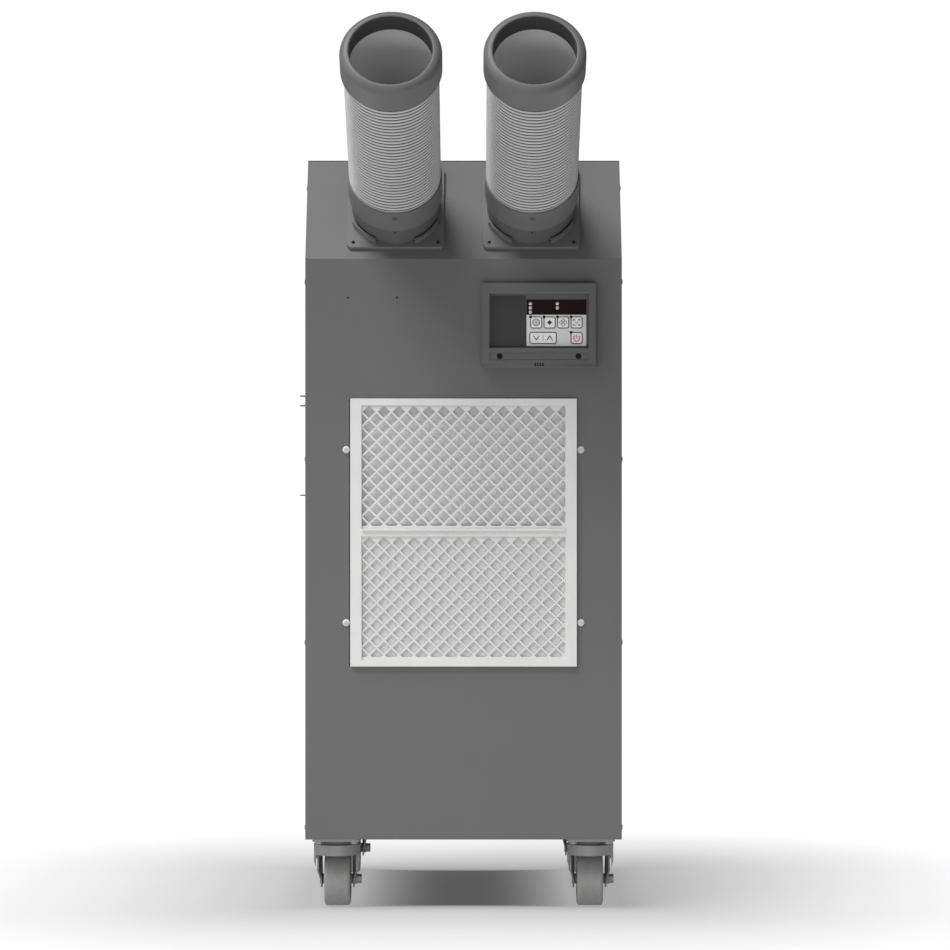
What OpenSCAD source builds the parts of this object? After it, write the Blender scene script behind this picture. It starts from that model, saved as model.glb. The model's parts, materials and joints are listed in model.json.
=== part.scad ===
// Water-cooled spot cooler: a sheet-steel cabinet on four swivel casters, with a
// filter cassette in front, a control panel above it and two air nozzles on a sloping top.
// The front looks along -Y, up is +Z, and the wheels stand on z = 0.

/* [Cabinet] */
// Width across the two side panels
body_w = 500; // [480:1:560]
// Depth from the front face to the rear edge of the side panels
body_d = 570; // [550:1:640]
// Height of the upright front face, from its lower edge to the fold
front_h = 917; // [900:1:980]
// Length of the sloping front panel, measured up the slope
slope_len = 189; // [180:1:210]
// Lean of the sloping panel away from upright, in degrees
slope_lean = 30; // [25:1:35]
// Thickness of the sheet steel
sheet = 1.5; // [1.2:0.1:2]
// Depth of the folded flanges behind the panels
flange_d = 22; // [20:1:26]
// Height of the base pan's rim
pan_rim_h = 40; // [30:1:50]

/* [Casters] */
// Height from the floor to the underside of the cabinet
caster_h = 113; // [111:1:120]
// Diameter of a wheel
wheel_d = 85; // [78:1:88]
// Width of a wheel
wheel_w = 41.4; // [36:0.2:44]
// Distance from a side of the cabinet to the swivel axis
caster_inset_x = 48.5; // [46:0.5:60]
// Distance from the front or the back of the cabinet to the swivel axis
caster_inset_y = 55; // [52:1:70]
// Distance of the axle behind the swivel axis
caster_trail = 24; // [20:1:26]
// Width of the mounting plate across the cabinet
mount_plate_w = 76; // [74:1:86]
// Length of the mounting plate along the cabinet
mount_plate_l = 92; // [88:1:100]
// Thickness of the mounting plate
mount_plate_t = 4.5; // [3.5:0.5:5]
// Width across the fork, outside
fork_w = 74.2; // [72:0.2:78]
// Width across the fork's feet at the axle, outside
fork_foot_w = 54.6; // [52:0.2:58]
// Thickness of the fork's pressed steel
fork_t = 2.8; // [2.4:0.1:3.2]

/* [Filter] */
// Width of the filter frame
filter_w = 357.5; // [340:0.5:370]
// Height of the frame's lower edge above the cabinet's lower edge
filter_up = 273.5; // [260:0.1:280]
// How far the frame stands out of the front face
filter_stand = 5; // [4:0.5:7]
// Depth of the cassette behind the front face
filter_depth = 20; // [16:1:24]
// Width of the frame's upright bars
filter_bar_w = 18; // [14:0.5:22]
// Height of the frame's top and bottom bars
filter_bar_h = 10.6; // [9:0.2:14]
// Height of the frame's middle bar
filter_mid_h = 12; // [10:0.5:16]
// Width of one diamond of the grille, corner to corner
diamond_w = 23.6; // [22:0.1:30]
// Width of the grille's strips
grille_strip = 2.8; // [2.4:0.1:4]
// Thickness of the grille
grille_t = 1.6; // [1.2:0.1:2]
// Thickness of the filter mat
mat_t = 8; // [6:0.5:10]

/* [Control panel] */
// Width of the bezel
bezel_w = 179.6; // [170:0.2:190]
// Height of the bezel
bezel_h = 133.9; // [125:0.1:140]
// Distance of the bezel's centre to the right of the cabinet's centre
bezel_x = 119; // [110:1:125]
// Distance from the fold down to the bezel's upper edge
bezel_down = 38.8; // [34:0.1:50]
// Distance from the filter frame up to the bezel
bezel_gap = 48; // [40:0.5:60]
// How far the bezel stands out of the front face
bezel_stand = 14; // [12:0.5:18]
// Wall of the bezel
bezel_wall = 2.5; // [2:0.1:3]
// Width of the recess
recess_w = 157; // [150:0.5:160]
// Height of the recess
recess_h = 86; // [80:0.5:90]
// Depth of the recess
recess_d = 10; // [8:0.5:11]
// Width and height of a square key
key_w = 17.6; // [16:0.1:18]
// Distance between neighbouring keys
key_pitch = 21.3; // [20.5:0.1:22]
// Width of the long temperature key
long_key_w = 41.9; // [38:0.1:43]
// Distance a key travels
key_travel = 0.8; // [0.5:0.1:1]
// Diameter of an indicator lamp
lamp_d = 5.4; // [4:0.1:5.6]

/* [Nozzles] */
// Distance of each nozzle from the cabinet's centre line
nozzle_x = 107.5; // [102:0.5:115]
// Width of the square flange plate
flange_w = 154; // [148:0.5:160]
// Thickness of the flange plate
flange_t = 6; // [4:0.5:8]
// Diameter of the flange's socket, outside
socket_d = 140; // [134:1:142]
// Distance from the slope to the lower edge of the collar
collar_at = 47.7; // [42:0.1:52]
// Height of the collar
collar_h = 47.9; // [44:0.1:52]
// Diameter of the collar
collar_d = 148; // [147:0.5:150]
// Diameter over the hose's ribs
hose_d = 144.4; // [143.6:0.1:144.8]
// Depth of the grooves between the ribs
groove_d = 3.4; // [2.5:0.1:3.6]
// Distance from rib to rib
rib_pitch = 7.7; // [7:0.1:8.5]
// Bore of the hose
hose_bore_d = 133; // [130:0.5:134]
// Distance from the slope to the mouth of the nozzle
mouth_at = 419; // [400:1:430]
// Length of the mouth ring
ring_h = 51; // [48:1:60]
// Diameter of the mouth ring
ring_d = 153.8; // [152:0.2:158]
// Bore of the mouth ring
mouth_d = 125; // [122:0.5:128]

/* [Cooling unit] */
// Diameter of the blower wheel
blower_d = 190; // [180:1:200]
// Width of the blower wheel
blower_w = 190; // [170:1:200]
// Number of blades around the blower wheel
blade_count = 36; // [24:1:40]
// Width of the evaporator coil between its end plates
coil_w = 340; // [320:1:350]
// Height of the evaporator coil
coil_h = 400; // [380:1:410]
// Depth of the evaporator coil
coil_d = 66; // [50:1:76]
// Diameter of the compressor's shell
compressor_d = 150; // [140:1:160]
// Height of the compressor's shell
compressor_h = 192; // [180:1:196]
// Number of plates in the water-cooled condenser
condenser_plates = 22; // [14:1:26]
// Height of the water-cooled condenser
condenser_h = 176; // [160:1:180]
// Outer diameter of the copper refrigerant pipes
pipe_d = 12; // [9:1:14]

/* [Water connections] */
// Diameter of the water unions, outside
union_d = 26.4; // [22:0.2:30]
// Length of each union behind the back panel
union_len = 30; // [26:1:36]
// Distance between the two unions
union_gap = 90; // [70:1:110]
// Height of the unions above the cabinet's lower edge
union_up = 150; // [130:1:180]
// Outer diameter of the drain spigot
drain_d = 16; // [12:1:20]

/* [Hidden] */

// Smoothness of round shapes
$fn = 64;
// Overrun of every cut past the face it starts from
over = 1;
// Gap between panels and other pieces that lie against each other
seam = 0.3;
// Radial clearance of a shaft in its hole
run_clear = 0.08;
// Clearance of a screw in its hole
screw_clear = 0.1;

// Heights and places of the cabinet
slope_rise = slope_len * cos(slope_lean);
slope_run = slope_len * sin(slope_lean);
base_z = caster_h;
fold_z = base_z + front_h;
top_z = fold_z + slope_rise;
side_in = body_w / 2 - sheet - seam;
pan_front = sheet + seam;
pan_back = body_d - sheet - seam;
relief_w = 2;
relief_h = 4;
lip_d = 18;
back_margin = 3;
back_corner_r = 4;

// Screws of the panels
screw_r = 2;
screw_head_r = 4.5;
screw_head_h = 1.7;
screw_len = 7;
screw_inset = 12;
side_screw_z_shares = [0.02, 0.339, 0.655, 0.961];
slope_screw_share = 0.72;
back_screw_shares = [0.02, 0.26, 0.5, 0.74, 0.98];
pin_hole_r = 1.5;
pin_hole_x_shares = [-0.365, -0.21];
pin_hole_down = 61;

// Side cleats
cleat_reach = 15;
cleat_len = 26;
cleat_t = 2;
cleat_back = 127;
cleat_up_shares = [0.591, 0.749, 0.766];

// Filter cassette
filter_z = base_z + filter_up;
filter_h = front_h - filter_up - bezel_gap - bezel_h - bezel_down;
box_lip = 5;
filter_gap = 0.6;
grille_sink = 2.2;
mat_gap_low = 1;
mat_gap_high = 4;
frame_gap = 1.9;
frame_corner_r = 1;
ledge_h = 3;
ledge_stand = 3;
window_w = filter_w - 2 * filter_bar_w;
window_h = (filter_h - 2 * filter_bar_h - filter_mid_h) / 2;
window_low_z = filter_z + filter_bar_h;
window_high_z = window_low_z + window_h + filter_mid_h;
box_w = filter_w - 2 * box_lip;
box_h = filter_h - 2 * box_lip;
intake_w = box_w + 2 * filter_gap;
intake_h = box_h + 2 * filter_gap;
grille_rim = 3;
grille_y = -filter_stand + grille_sink;
net_web_h = 4.6;
net_low = net_web_h - window_h / 2;
net_shift_shares = [0.18, 0.19];
diamonds_across = ceil(window_w / diamond_w / 2) + 1;
diamonds_up = ceil(window_h / diamond_w / 2);
filter_screw_gap = 0.8;
filter_screw_head_r = 5.7;
filter_screw_head_h = 2.6;
filter_screw_x = filter_w / 2 + filter_screw_gap + filter_screw_head_r;
filter_screw_shares = [0.163, 0.809];
rail_w = 24;
rail_depth = 24;

// Bezel, keys and lamps
bezel_z = fold_z - bezel_down - bezel_h;
bezel_r = 1.5;
recess_up = 31.4;
recess_chamfer = 5;
recess_z = bezel_z + recess_up;
floor_y = -bezel_stand + recess_d;
floor_t = 2.5;
cutout_margin = 9;
strip_w = 156;
strip_h = 12;
strip_up = 12.5;
strip_d = 1.5;
strip_screw_inset = 16;
bezel_screw_r = 1.6;
bezel_screw_head_r = 4.6;
bezel_screw_head_h = 1;
slot_w = 1.6;
slot_h = 5.5;
slot_count = 4;
slot_pitch = 4.1;
slot_up = 2.6;
panel_w = 94.2;
panel_h = 73;
panel_right = 3.8;
panel_up = 3.4;
window_share = 0.32;
panel_t = 1.5;
panel_x = bezel_x + recess_w / 2 - panel_right - panel_w;
panel_z = recess_z + panel_up;
display_h = panel_h * window_share;
plate_h = panel_h - display_h;
panel_y = floor_y - panel_t;
key_r = 3;
key_stand = 0.9;
key_gap = 0.3;
key_lip = 1;
key_lip_t = 0.8;
key_first_x = 15;
key_row_up = 37.2;
low_row_up = 12.8;
long_key_x = 25.9;
rocker_r = 1.5;
board_gap = 3;
board_t = 1.6;
board_margin = 4;
switch_w = 6;
lamp_stand = 0.5;
lamp_col = 42.5;
lamp_first_x = 6;
lamp_first_up = 17.2;
lamp_step = 6.6;
led_r = 2.4;

// Nozzles, along their own axis
slope_mid_y = slope_run / 2;
slope_mid_z = fold_z + slope_rise / 2;
socket_r = socket_d / 2;
socket_bore_r = 66.5;
socket_over = 18;
flange_r = 8;
flange_screw_inset = 10;
flange_screw_r = 2.2;
flange_screw_head_r = 3.6;
flange_screw_head_h = 1.6;
guard_in_r = 72.6;
guard_out_r = 76.4;
guard_h = 10;
guard_from = 26.5;
guard_span = 39;
key_hole_r = 1.8;
key_hole_at = 37;
collar_land = 2.6;
collar_screw_at = 34;
collar_screw_head_r = 4.6;
collar_screw_head_h = 1.4;
collar_screw_r = 2;
hose_clear = 0.15;
hose_cuff = 6;
rib_share = 0.6;
rib_flank = 0.5;
socket_end = collar_at + socket_over;
hose_start = socket_end + seam + collar_land + seam;
mouth_depth = 33;
hose_end = mouth_at - mouth_depth - seam;
ring_start = mouth_at - ring_h;
lip_in_r = 2.4;
lip_out_r = (ring_d - mouth_d) / 2 - lip_in_r;
ring_chamfer = 3;

// The part's origin lies below the middle of its depth, and the nozzles reach furthest forward
rear_reach = sheet + union_len;
nozzle_reach = (mouth_at - lip_out_r) * cos(slope_lean)
    + (ring_d / 2 - lip_out_r) * sin(slope_lean) + lip_out_r - slope_mid_y;
front_y = -(body_d + rear_reach - nozzle_reach) / 2;

// Air path
duct_wall = 1.2;
plenum_w = 420;
plenum_low = 12;
plenum_high = 8;
scroll_low_share = 0.545;
scroll_high_share = 0.77;
wheel_gap = 10;
scroll_w = blower_w + 2 * wheel_gap;
scroll_min_r = blower_d * scroll_low_share;
scroll_max_r = blower_d * scroll_high_share;
scroll_steps = 30;
tongue_angle = 60;
blower_y = 290;
outlet_z = fold_z + plenum_low;
blower_drop = 160;
blower_z = outlet_z - blower_drop;
inlet_rim = 14;
inlet_r = blower_d / 2 - inlet_rim;
plenum_gap = 6;
plenum_back = blower_y + scroll_max_r + duct_wall + plenum_gap;
blade_depth = 15;
blade_t = 1;
blade_lead = 7;
wheel_ring_w = 5;
hub_r = 16;
hub_w = 36;
web_t = 2;
shaft_r = 6.35;
motor_r = 58;
motor_len = 92;
motor_gap = 6;
motor_arm_w = 12;
motor_arm_t = 3;
shaft_nose = 20;

// Coil, pans and shelf
coil_y = 52;
coil_plate_t = 2;
fin_pitch = 8;
fin_t = 1.5;
coil_rise = 24;
shelf_up = 232;
shelf_z = base_z + shelf_up;
tray_h = 22;
tray_wall = 2;
tray_lip = 12;
bend_r = 9;
bend_pitch = 40;
tray_back = coil_y + coil_d + tray_lip;
coil_z = shelf_z + sheet + seam + coil_rise;

// Compressor, condenser and water side, on the pan's floor
floor_z = base_z + sheet;
compressor_share = -0.22;
compressor_x = body_w * compressor_share;
compressor_y = 385;
foot_h = 18;
foot_r = 14;
foot_spread = 58;
foot_plate_t = 4;
foot_plate_w = 144;
dome_r = 30;
shell_wall = 10;
condenser_share = 0.23;
condenser_x = body_w * condenser_share;
condenser_y = 350;
condenser_w = 88;
condenser_pitch = 2.4;
condenser_end_t = 4;
condenser_foot_h = 18;
port_r = 9;
port_len = 16;
port_inset = 20;
valve_w = 44;
valve_h = 40;
valve_cap_r = 18;
valve_cap_h = 46;
water_pipe_r = 8;
elbow_share = 1.25;
union_share = 0.23;
union_x = body_w * union_share;
union_z = base_z + union_up;
union_bore_r = 8.5;
nut_r = 19;
nut_t = 8;
drain_up = 90;
drain_share = -0.12;
drain_x = body_w * drain_share;
drain_bore_r = 5;
ebox_share = -0.172;
ebox_x = body_w * ebox_share;
ebox_y = 120;
ebox_w = 150;
ebox_d = 110;
ebox_h = 190;
ebox_lid_t = 2;
drier_r = 20;
drier_h = 110;
gland_share = -0.34;
gland_x = body_w * gland_share;
gland_up = 250;
gland_r = 11;
gland_bore_r = 5;
gland_len = 24;
gland_nut_r = 15;
gland_nut_t = 6;

// Casters
wheel_r = wheel_d / 2;
race_r = 33;
race_h = 6.8;
crown_t = 3.4;
crown_bulge = 1.4;
king_r = 6;
king_head_r = 10;
king_head_h = 3;
crown_z = base_z - mount_plate_t - race_h - seam;
crown_low_z = crown_z - crown_t;
apron_h = 16.6;
arch_r = 12;
draw_in_y = 12;
wall_steps = 16;
leg_front_y = 17;
leg_back_y = 26;
foot_eye_r = 14;
axle_r = 4;
axle_head_h = 1.2;
axle_nut_h = 7;
axle_nut_r = 7.5;
axle_boss_r = 8.6;
axle_boss = 3.8;
wheel_edge_r = 5;
dish_in_r = 13;
dish_out_r = 31;
dish_d = 5;
spacer_r = 8;
plate_r = 5;
bolt_r = 4;
bolt_spread_w = 56;
bolt_spread_l = 72;
bolt_head_r = 7;
bolt_head_h = 4.5;
bolt_len = 9;

// Colours
steel_grey = [0.44, 0.44, 0.44];
dark_grey = [0.3, 0.3, 0.31];
black = [0.12, 0.11, 0.11];
hose_grey = [0.72, 0.72, 0.72];
off_white = [0.86, 0.86, 0.86];
mat_grey = [0.75, 0.76, 0.77];
key_white = [0.85, 0.85, 0.85];
pink = [0.86, 0.76, 0.78];
zinc = [0.62, 0.62, 0.62];
copper = [0.72, 0.45, 0.3];
brass = [0.74, 0.62, 0.36];
rubber_grey = [0.45, 0.45, 0.45];
board_green = [0.1, 0.35, 0.2];

// Puts the cabinet's front face at its place in the part's frame
module placed() {
    translate([0, front_y, 0]) children();
}

// An outline given as depth and height, drawn out across the cabinet
module across(w, x = 0) {
    translate([x, 0, 0]) rotate([90, 0, 90]) linear_extrude(w) children();
}

// An outline given as width and height, drawn out backwards from y
module backwards(y, d) {
    translate([0, y + d, 0]) rotate([90, 0, 0]) linear_extrude(d) children();
}

// A cylinder that runs backwards from y
module rod_back(x, y, z, r, d, sides = 64) {
    translate([x, y, z]) rotate([-90, 0, 0]) cylinder(r = r, h = d, $fn = sides);
}

// A cylinder that runs to the right from x
module rod_right(x, y, z, r, w, sides = 64) {
    translate([x, y, z]) rotate([0, 90, 0]) cylinder(r = r, h = w, $fn = sides);
}

// A flat rectangle with round corners, from its lower left corner
module rounded(w, h, r) {
    translate([r, 0]) square([w - 2 * r, h]);
    translate([0, r]) square([w, h - 2 * r]);
    for (x = [r, w - r], y = [r, h - r]) translate([x, y]) circle(r);
}

// One quarter of a disc, with its centre at the corner
module quarter(r, sx, sy) {
    intersection() {
        circle(r);
        translate([sx < 0 ? -r : 0, sy < 0 ? -r : 0]) square(r);
    }
}

// Depth of the sloping panel at a height, a set distance inside its outer face
function slope_y(z, inside) = (z - fold_z) * tan(slope_lean) + inside / cos(slope_lean);

// Height of the fold, a set distance inside the outer face
function fold_in(inside) = fold_z - inside * tan(slope_lean / 2);

// A band behind the upright front, between two distances inside it
module upright_band(from, to, low, high) {
    polygon([[from, low], [to, low], [to, high], [from, high]]);
}

// A band behind the slope, between two distances inside it
module slope_band(from, to, low, high) {
    polygon([[slope_y(low, from), low], [slope_y(low, to), low],
        [slope_y(high, to), high], [slope_y(high, from), high]]);
}

side_screw_zs = [for (s = side_screw_z_shares) base_z + front_h * s];
slope_screw_z = fold_z + slope_rise * slope_screw_share;

// Every screw of one side panel, as depth and height
function side_screw_places() = concat(
    [for (z = side_screw_zs) [screw_inset, z]],
    [[slope_y(slope_screw_z, screw_inset), slope_screw_z]]);

// Every screw of the back panel, as width and height
function back_screw_places() =
    [for (s = back_screw_shares, x = [-1, 1])
        [x * (body_w / 2 - screw_inset), base_z + (top_z - base_z) * s]];

module base_pan() {
    color(steel_grey) placed() difference() {
        translate([-side_in, pan_front, base_z]) cube([2 * side_in, pan_back - pan_front, pan_rim_h]);
        translate([-side_in + sheet, pan_front + sheet, base_z + sheet])
            cube([2 * (side_in - sheet), pan_back - pan_front - 2 * sheet, pan_rim_h]);
        for (c = caster_places()) translate([c[0], c[1], base_z - over]) bolt_pattern()
            cylinder(r = bolt_r + screw_clear, h = sheet + 2 * over);
        for (s = [-1, 1]) translate([s * side_in, screw_inset, side_screw_zs[0]])
            rotate([0, 90, 0]) cylinder(r = screw_r + screw_clear, h = 4 * sheet, center = true);
        for (k = [0, 1]) rod_back(back_screw_places()[k][0], pan_back - 2 * sheet,
            back_screw_places()[k][1], screw_r + screw_clear, 3 * sheet);
    }
}

module front_panel() {
    color(steel_grey) placed() difference() {
        union() {
            across(body_w, -body_w / 2) polygon([[0, base_z], [sheet, base_z],
                [sheet, fold_in(sheet)], [slope_y(top_z - sheet, sheet), top_z - sheet],
                [slope_y(top_z - sheet, 0), top_z - sheet], [0, fold_z]]);
            for (x = [-side_in, side_in - sheet]) across(sheet, x) {
                upright_band(sheet / 2, flange_d, base_z + pan_rim_h + seam, fold_in(flange_d));
                slope_band(sheet / 2, flange_d, fold_z + relief_h, top_z - 2 * sheet - seam);
            }
            across(2 * (side_in - sheet), -side_in + sheet)
                polygon([[slope_y(top_z - sheet, sheet / 2), top_z - sheet],
                    [slope_y(top_z - sheet, lip_d), top_z - sheet],
                    [slope_y(top_z - sheet, lip_d), top_z - 2 * sheet],
                    [slope_y(top_z - 2 * sheet, sheet / 2), top_z - 2 * sheet]]);
        }
        backwards(-over, flange_d + sheet + over)
            translate([-intake_w / 2, filter_z + box_lip - filter_gap]) square([intake_w, intake_h]);
        backwards(-over, sheet + 2 * over) translate([-filter_w / 2 - frame_gap, filter_z])
            square([frame_gap + 2 * box_lip, filter_h]);
        backwards(-over, sheet + 2 * over) control_cutout();
        for (s = [-1, 1]) {
            on_slope(s) translate([0, 0, -flange_d]) cylinder(r = socket_bore_r, h = 2 * flange_d);
            on_slope(s) flange_corners() translate([0, 0, -flange_d])
                cylinder(r = flange_screw_r + screw_clear, h = 2 * flange_d);
            translate([s * body_w / 2 - relief_w, -over, fold_z - relief_h / 2])
                cube([2 * relief_w, 2 * over + 2 * sheet, relief_h]);
            for (p = side_screw_places()) translate([s * side_in, p[0], p[1]]) rotate([0, 90, 0])
                cylinder(r = screw_r + screw_clear, h = 4 * sheet, center = true);
            for (z = filter_screw_zs())
                rod_back(s * filter_screw_x, -over, z, screw_r + screw_clear, sheet + 2 * over);
        }
        for (p = pin_hole_x_shares)
            rod_back(body_w * p, -over, fold_z - pin_hole_down, pin_hole_r, sheet + 2 * over);
    }
}

module control_cutout() {
    translate([bezel_x - bezel_w / 2 + cutout_margin, bezel_z + cutout_margin])
        square([bezel_w - 2 * cutout_margin, bezel_h - 2 * cutout_margin]);
}

module top_cover() {
    low_z = top_z - sheet;
    color(steel_grey) placed() {
        across(body_w, -body_w / 2) polygon([[slope_y(low_z, 0), low_z], [body_d, low_z],
            [body_d, top_z], [slope_y(low_z, 0), top_z]]);
        for (x = [-side_in, side_in - sheet])
            translate([x, slope_y(low_z, flange_d + seam), low_z - flange_d])
                cube([sheet, pan_back - slope_y(low_z, flange_d + seam), flange_d + sheet / 2]);
    }
}

// The flat outline of a side panel, as depth and height
module side_outline() {
    high = top_z - sheet - seam;
    gap = sheet + seam;
    polygon([[gap, base_z], [body_d, base_z], [body_d, high],
        [slope_y(high, gap), high], [gap, fold_in(gap)]]);
}

module side_panel(s) {
    color(steel_grey) placed() difference() {
        union() {
            across(sheet, s > 0 ? body_w / 2 - sheet : -body_w / 2) side_outline();
            translate([s > 0 ? body_w / 2 - flange_d : sheet / 2 - body_w / 2, body_d - sheet, base_z])
                cube([flange_d - sheet / 2, sheet, top_z - sheet - seam - base_z]);
        }
        for (p = side_screw_places()) translate([s * body_w / 2, p[0], p[1]]) rotate([0, 90, 0])
            cylinder(r = screw_r + screw_clear, h = 4 * sheet, center = true);
        for (p = back_screw_places())
            rod_back(p[0], body_d - sheet - over, p[1], screw_r + screw_clear, sheet + 2 * over);
        if (s < 0) for (u = cleat_up_shares)
            translate([-body_w / 2 - over, cleat_back - screw_clear, base_z + front_h * u - screw_clear])
                cube([sheet + 2 * over, cleat_len + 2 * screw_clear, cleat_t + 2 * screw_clear]);
    }
}

module side_panel_left() { side_panel(-1); }

module side_panel_right() { side_panel(1); }

module back_panel() {
    w = body_w - 2 * back_margin;
    h = top_z - sheet - base_z - back_margin;
    color(steel_grey) placed() difference() {
        backwards(body_d, sheet) translate([-w / 2, base_z + back_margin / 2])
            rounded(w, h, back_corner_r);
        for (p = back_screw_places())
            rod_back(p[0], body_d - over, p[1], screw_r + screw_clear, sheet + 2 * over);
        for (x = union_xs())
            rod_back(x, body_d - over, union_z, union_d / 2 + seam, sheet + 2 * over);
        rod_back(drain_x, body_d - over, base_z + drain_up, drain_d / 2 + seam, sheet + 2 * over);
        rod_back(gland_x, body_d - over, base_z + gland_up, gland_r + seam, sheet + 2 * over);
    }
}

// A pan head screw whose head faces away from its shank
module pan_screw(r, head_r, head_h, len) {
    rotate_extrude() union() {
        square([head_r, head_h / 2]);
        translate([0, head_h / 2]) square([head_r - head_h / 2, head_h / 2]);
        translate([head_r - head_h / 2, head_h / 2]) quarter(head_h / 2, 1, 1);
        translate([0, -len]) square([r, len + head_h / 2]);
    }
}

module panel_screws() {
    color(zinc) placed() {
        for (s = [-1, 1], p = side_screw_places()) translate([s * body_w / 2, p[0], p[1]])
            rotate([0, s * 90, 0]) pan_screw(screw_r, screw_head_r, screw_head_h, screw_len);
        for (p = back_screw_places()) translate([p[0], body_d + sheet, p[1]])
            rotate([-90, 0, 0]) pan_screw(screw_r, screw_head_r, screw_head_h, screw_len);
    }
}

module side_cleats() {
    root = 3 * sheet;
    color(steel_grey) placed() for (u = cleat_up_shares)
        translate([-body_w / 2 - cleat_reach, cleat_back, base_z + front_h * u])
            linear_extrude(cleat_t) union() {
                translate([cleat_reach / 2, 0]) square([cleat_reach / 2 + root, cleat_len]);
                rounded(cleat_reach, cleat_len, cleat_reach / 3);
            }
}

function filter_screw_zs() = [for (s = filter_screw_shares) filter_z + filter_h * s];

module filter_rails() {
    color(zinc) placed() for (s = [-1, 1]) mirror([s < 0 ? 1 : 0, 0, 0]) difference() {
        translate([intake_w / 2, sheet, filter_z + box_lip]) union() {
            cube([rail_w, sheet, box_h]);
            cube([sheet, rail_depth, box_h]);
            translate([-rail_w / 3, rail_depth - sheet, 0]) cube([rail_w / 3 + sheet / 2, sheet, box_h]);
        }
        for (z = filter_screw_zs())
            rod_back(filter_screw_x, 0, z, screw_r + screw_clear, 3 * sheet);
    }
}

module filter_screws() {
    color(off_white) placed() for (s = [-1, 1], z = filter_screw_zs())
        translate([s * filter_screw_x, 0, z]) rotate([90, 0, 0])
            pan_screw(screw_r, filter_screw_head_r, filter_screw_head_h, screw_len);
}

module windows(grow) {
    for (z = [window_low_z, window_high_z])
        translate([-window_w / 2 - grow, z - grow]) square([window_w + 2 * grow, window_h + 2 * grow]);
}

module filter_frame() {
    color(off_white) placed() difference() {
        union() {
            backwards(-filter_stand, filter_stand - seam / 3)
                translate([-filter_w / 2, filter_z]) rounded(filter_w, filter_h, frame_corner_r);
            backwards(-filter_stand / 2, filter_depth + filter_stand / 2)
                translate([-box_w / 2, filter_z + box_lip]) square([box_w, box_h]);
            translate([-window_w / 2, -filter_stand - ledge_stand, window_high_z - ledge_h])
                cube([window_w, ledge_stand + filter_stand / 2, ledge_h]);
        }
        backwards(-filter_stand - over, grille_sink + 2 * over) windows(0);
        backwards(grille_y, filter_depth + filter_stand) windows(grille_rim);
    }
}

// Centres of the diamond gaps, from a window's middle, above the net's solid lower edge
function diamond_places() = [
    for (i = [-diamonds_across : diamonds_across], j = [-diamonds_up : diamonds_up], half = [0, 1 / 2])
        let (x = (i + half + net_shift_shares[0]) * diamond_w,
            y = (j + half + net_shift_shares[1]) * diamond_w)
            if (abs(x) < (window_w + diamond_w) / 2 && y > net_low && y < window_h / 2) [x, y]];

// The net of one window: a plate with diamond gaps, whole or cut by the window's sides
module diamond_net(low_z) {
    w = window_w + 2 * grille_rim - 2 * seam;
    h = window_h + 2 * grille_rim - 2 * seam;
    gap = diamond_w / sqrt(2) - grille_strip;
    translate([0, grille_y + grille_t, low_z + window_h / 2]) rotate([90, 0, 0]) difference() {
        translate([-w / 2, -h / 2, 0]) cube([w, h, grille_t]);
        intersection() {
            translate([-window_w / 2, net_low, -over])
                cube([window_w, window_h / 2 - net_low, grille_t + 2 * over]);
            for (p = diamond_places()) translate([p[0], p[1], -over]) rotate([0, 0, 45])
                translate([-gap / 2, -gap / 2, 0]) cube([gap, gap, grille_t + 2 * over]);
        }
    }
}

module filter_grilles() {
    color(off_white) placed() for (z = [window_low_z, window_high_z]) diamond_net(z);
}

module filter_mat() {
    w = window_w + 2 * grille_rim - 2 * seam;
    h = window_h + 2 * grille_rim - 2 * seam;
    color(mat_grey) placed() for (p = [[window_low_z, mat_gap_low], [window_high_z, mat_gap_high]])
        translate([-w / 2, grille_y + grille_t + p[1], p[0] + window_h / 2 - h / 2])
            cube([w, mat_t, h]);
}

module control_bezel() {
    color(dark_grey) placed() difference() {
        backwards(-bezel_stand, bezel_stand) translate([bezel_x - bezel_w / 2, bezel_z])
            rounded(bezel_w, bezel_h, bezel_r);
        difference() {
            backwards(-bezel_stand + bezel_wall, bezel_stand)
                translate([bezel_x - bezel_w / 2 + bezel_wall, bezel_z + bezel_wall])
                    square([bezel_w - 2 * bezel_wall, bezel_h - 2 * bezel_wall]);
            backwards(-bezel_stand, recess_d + floor_t)
                translate([bezel_x - recess_w / 2 - bezel_wall, recess_z - bezel_wall])
                    square([recess_w + 2 * bezel_wall, recess_h + 2 * bezel_wall]);
            for (s = [-1, 1])
                rod_back(bezel_x + s * (strip_w / 2 - strip_screw_inset), -bezel_stand,
                    bezel_z + strip_up + strip_h / 2, bezel_screw_head_r, bezel_stand);
        }
        backwards(-bezel_stand - over, recess_d + over)
            translate([bezel_x - recess_w / 2, recess_z]) square([recess_w, recess_h]);
        across(recess_w, bezel_x - recess_w / 2) polygon([
            [-bezel_stand - over, recess_z + recess_h - over],
            [-bezel_stand - over, recess_z + recess_h + recess_chamfer / 2],
            [-bezel_stand, recess_z + recess_h + recess_chamfer / 2],
            [-bezel_stand + bezel_wall / 2, recess_z + recess_h - over]]);
        backwards(-bezel_stand, bezel_stand)
            translate([panel_x + grille_rim, panel_z + grille_rim])
                square([panel_w - 2 * grille_rim, panel_h - 2 * grille_rim]);
        backwards(-bezel_stand - over, strip_d + over)
            translate([bezel_x - strip_w / 2, bezel_z + strip_up]) square([strip_w, strip_h]);
        for (s = [-1, 1])
            rod_back(bezel_x + s * (strip_w / 2 - strip_screw_inset), -bezel_stand - over,
                bezel_z + strip_up + strip_h / 2, bezel_screw_r + screw_clear, bezel_stand + 2 * over);
        for (k = [0 : slot_count - 1])
            translate([bezel_x + (k - (slot_count - 1) / 2) * slot_pitch - slot_w / 2,
                -bezel_stand - over, bezel_z + slot_up]) cube([slot_w, bezel_wall + 2 * over, slot_h]);
    }
}

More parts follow.
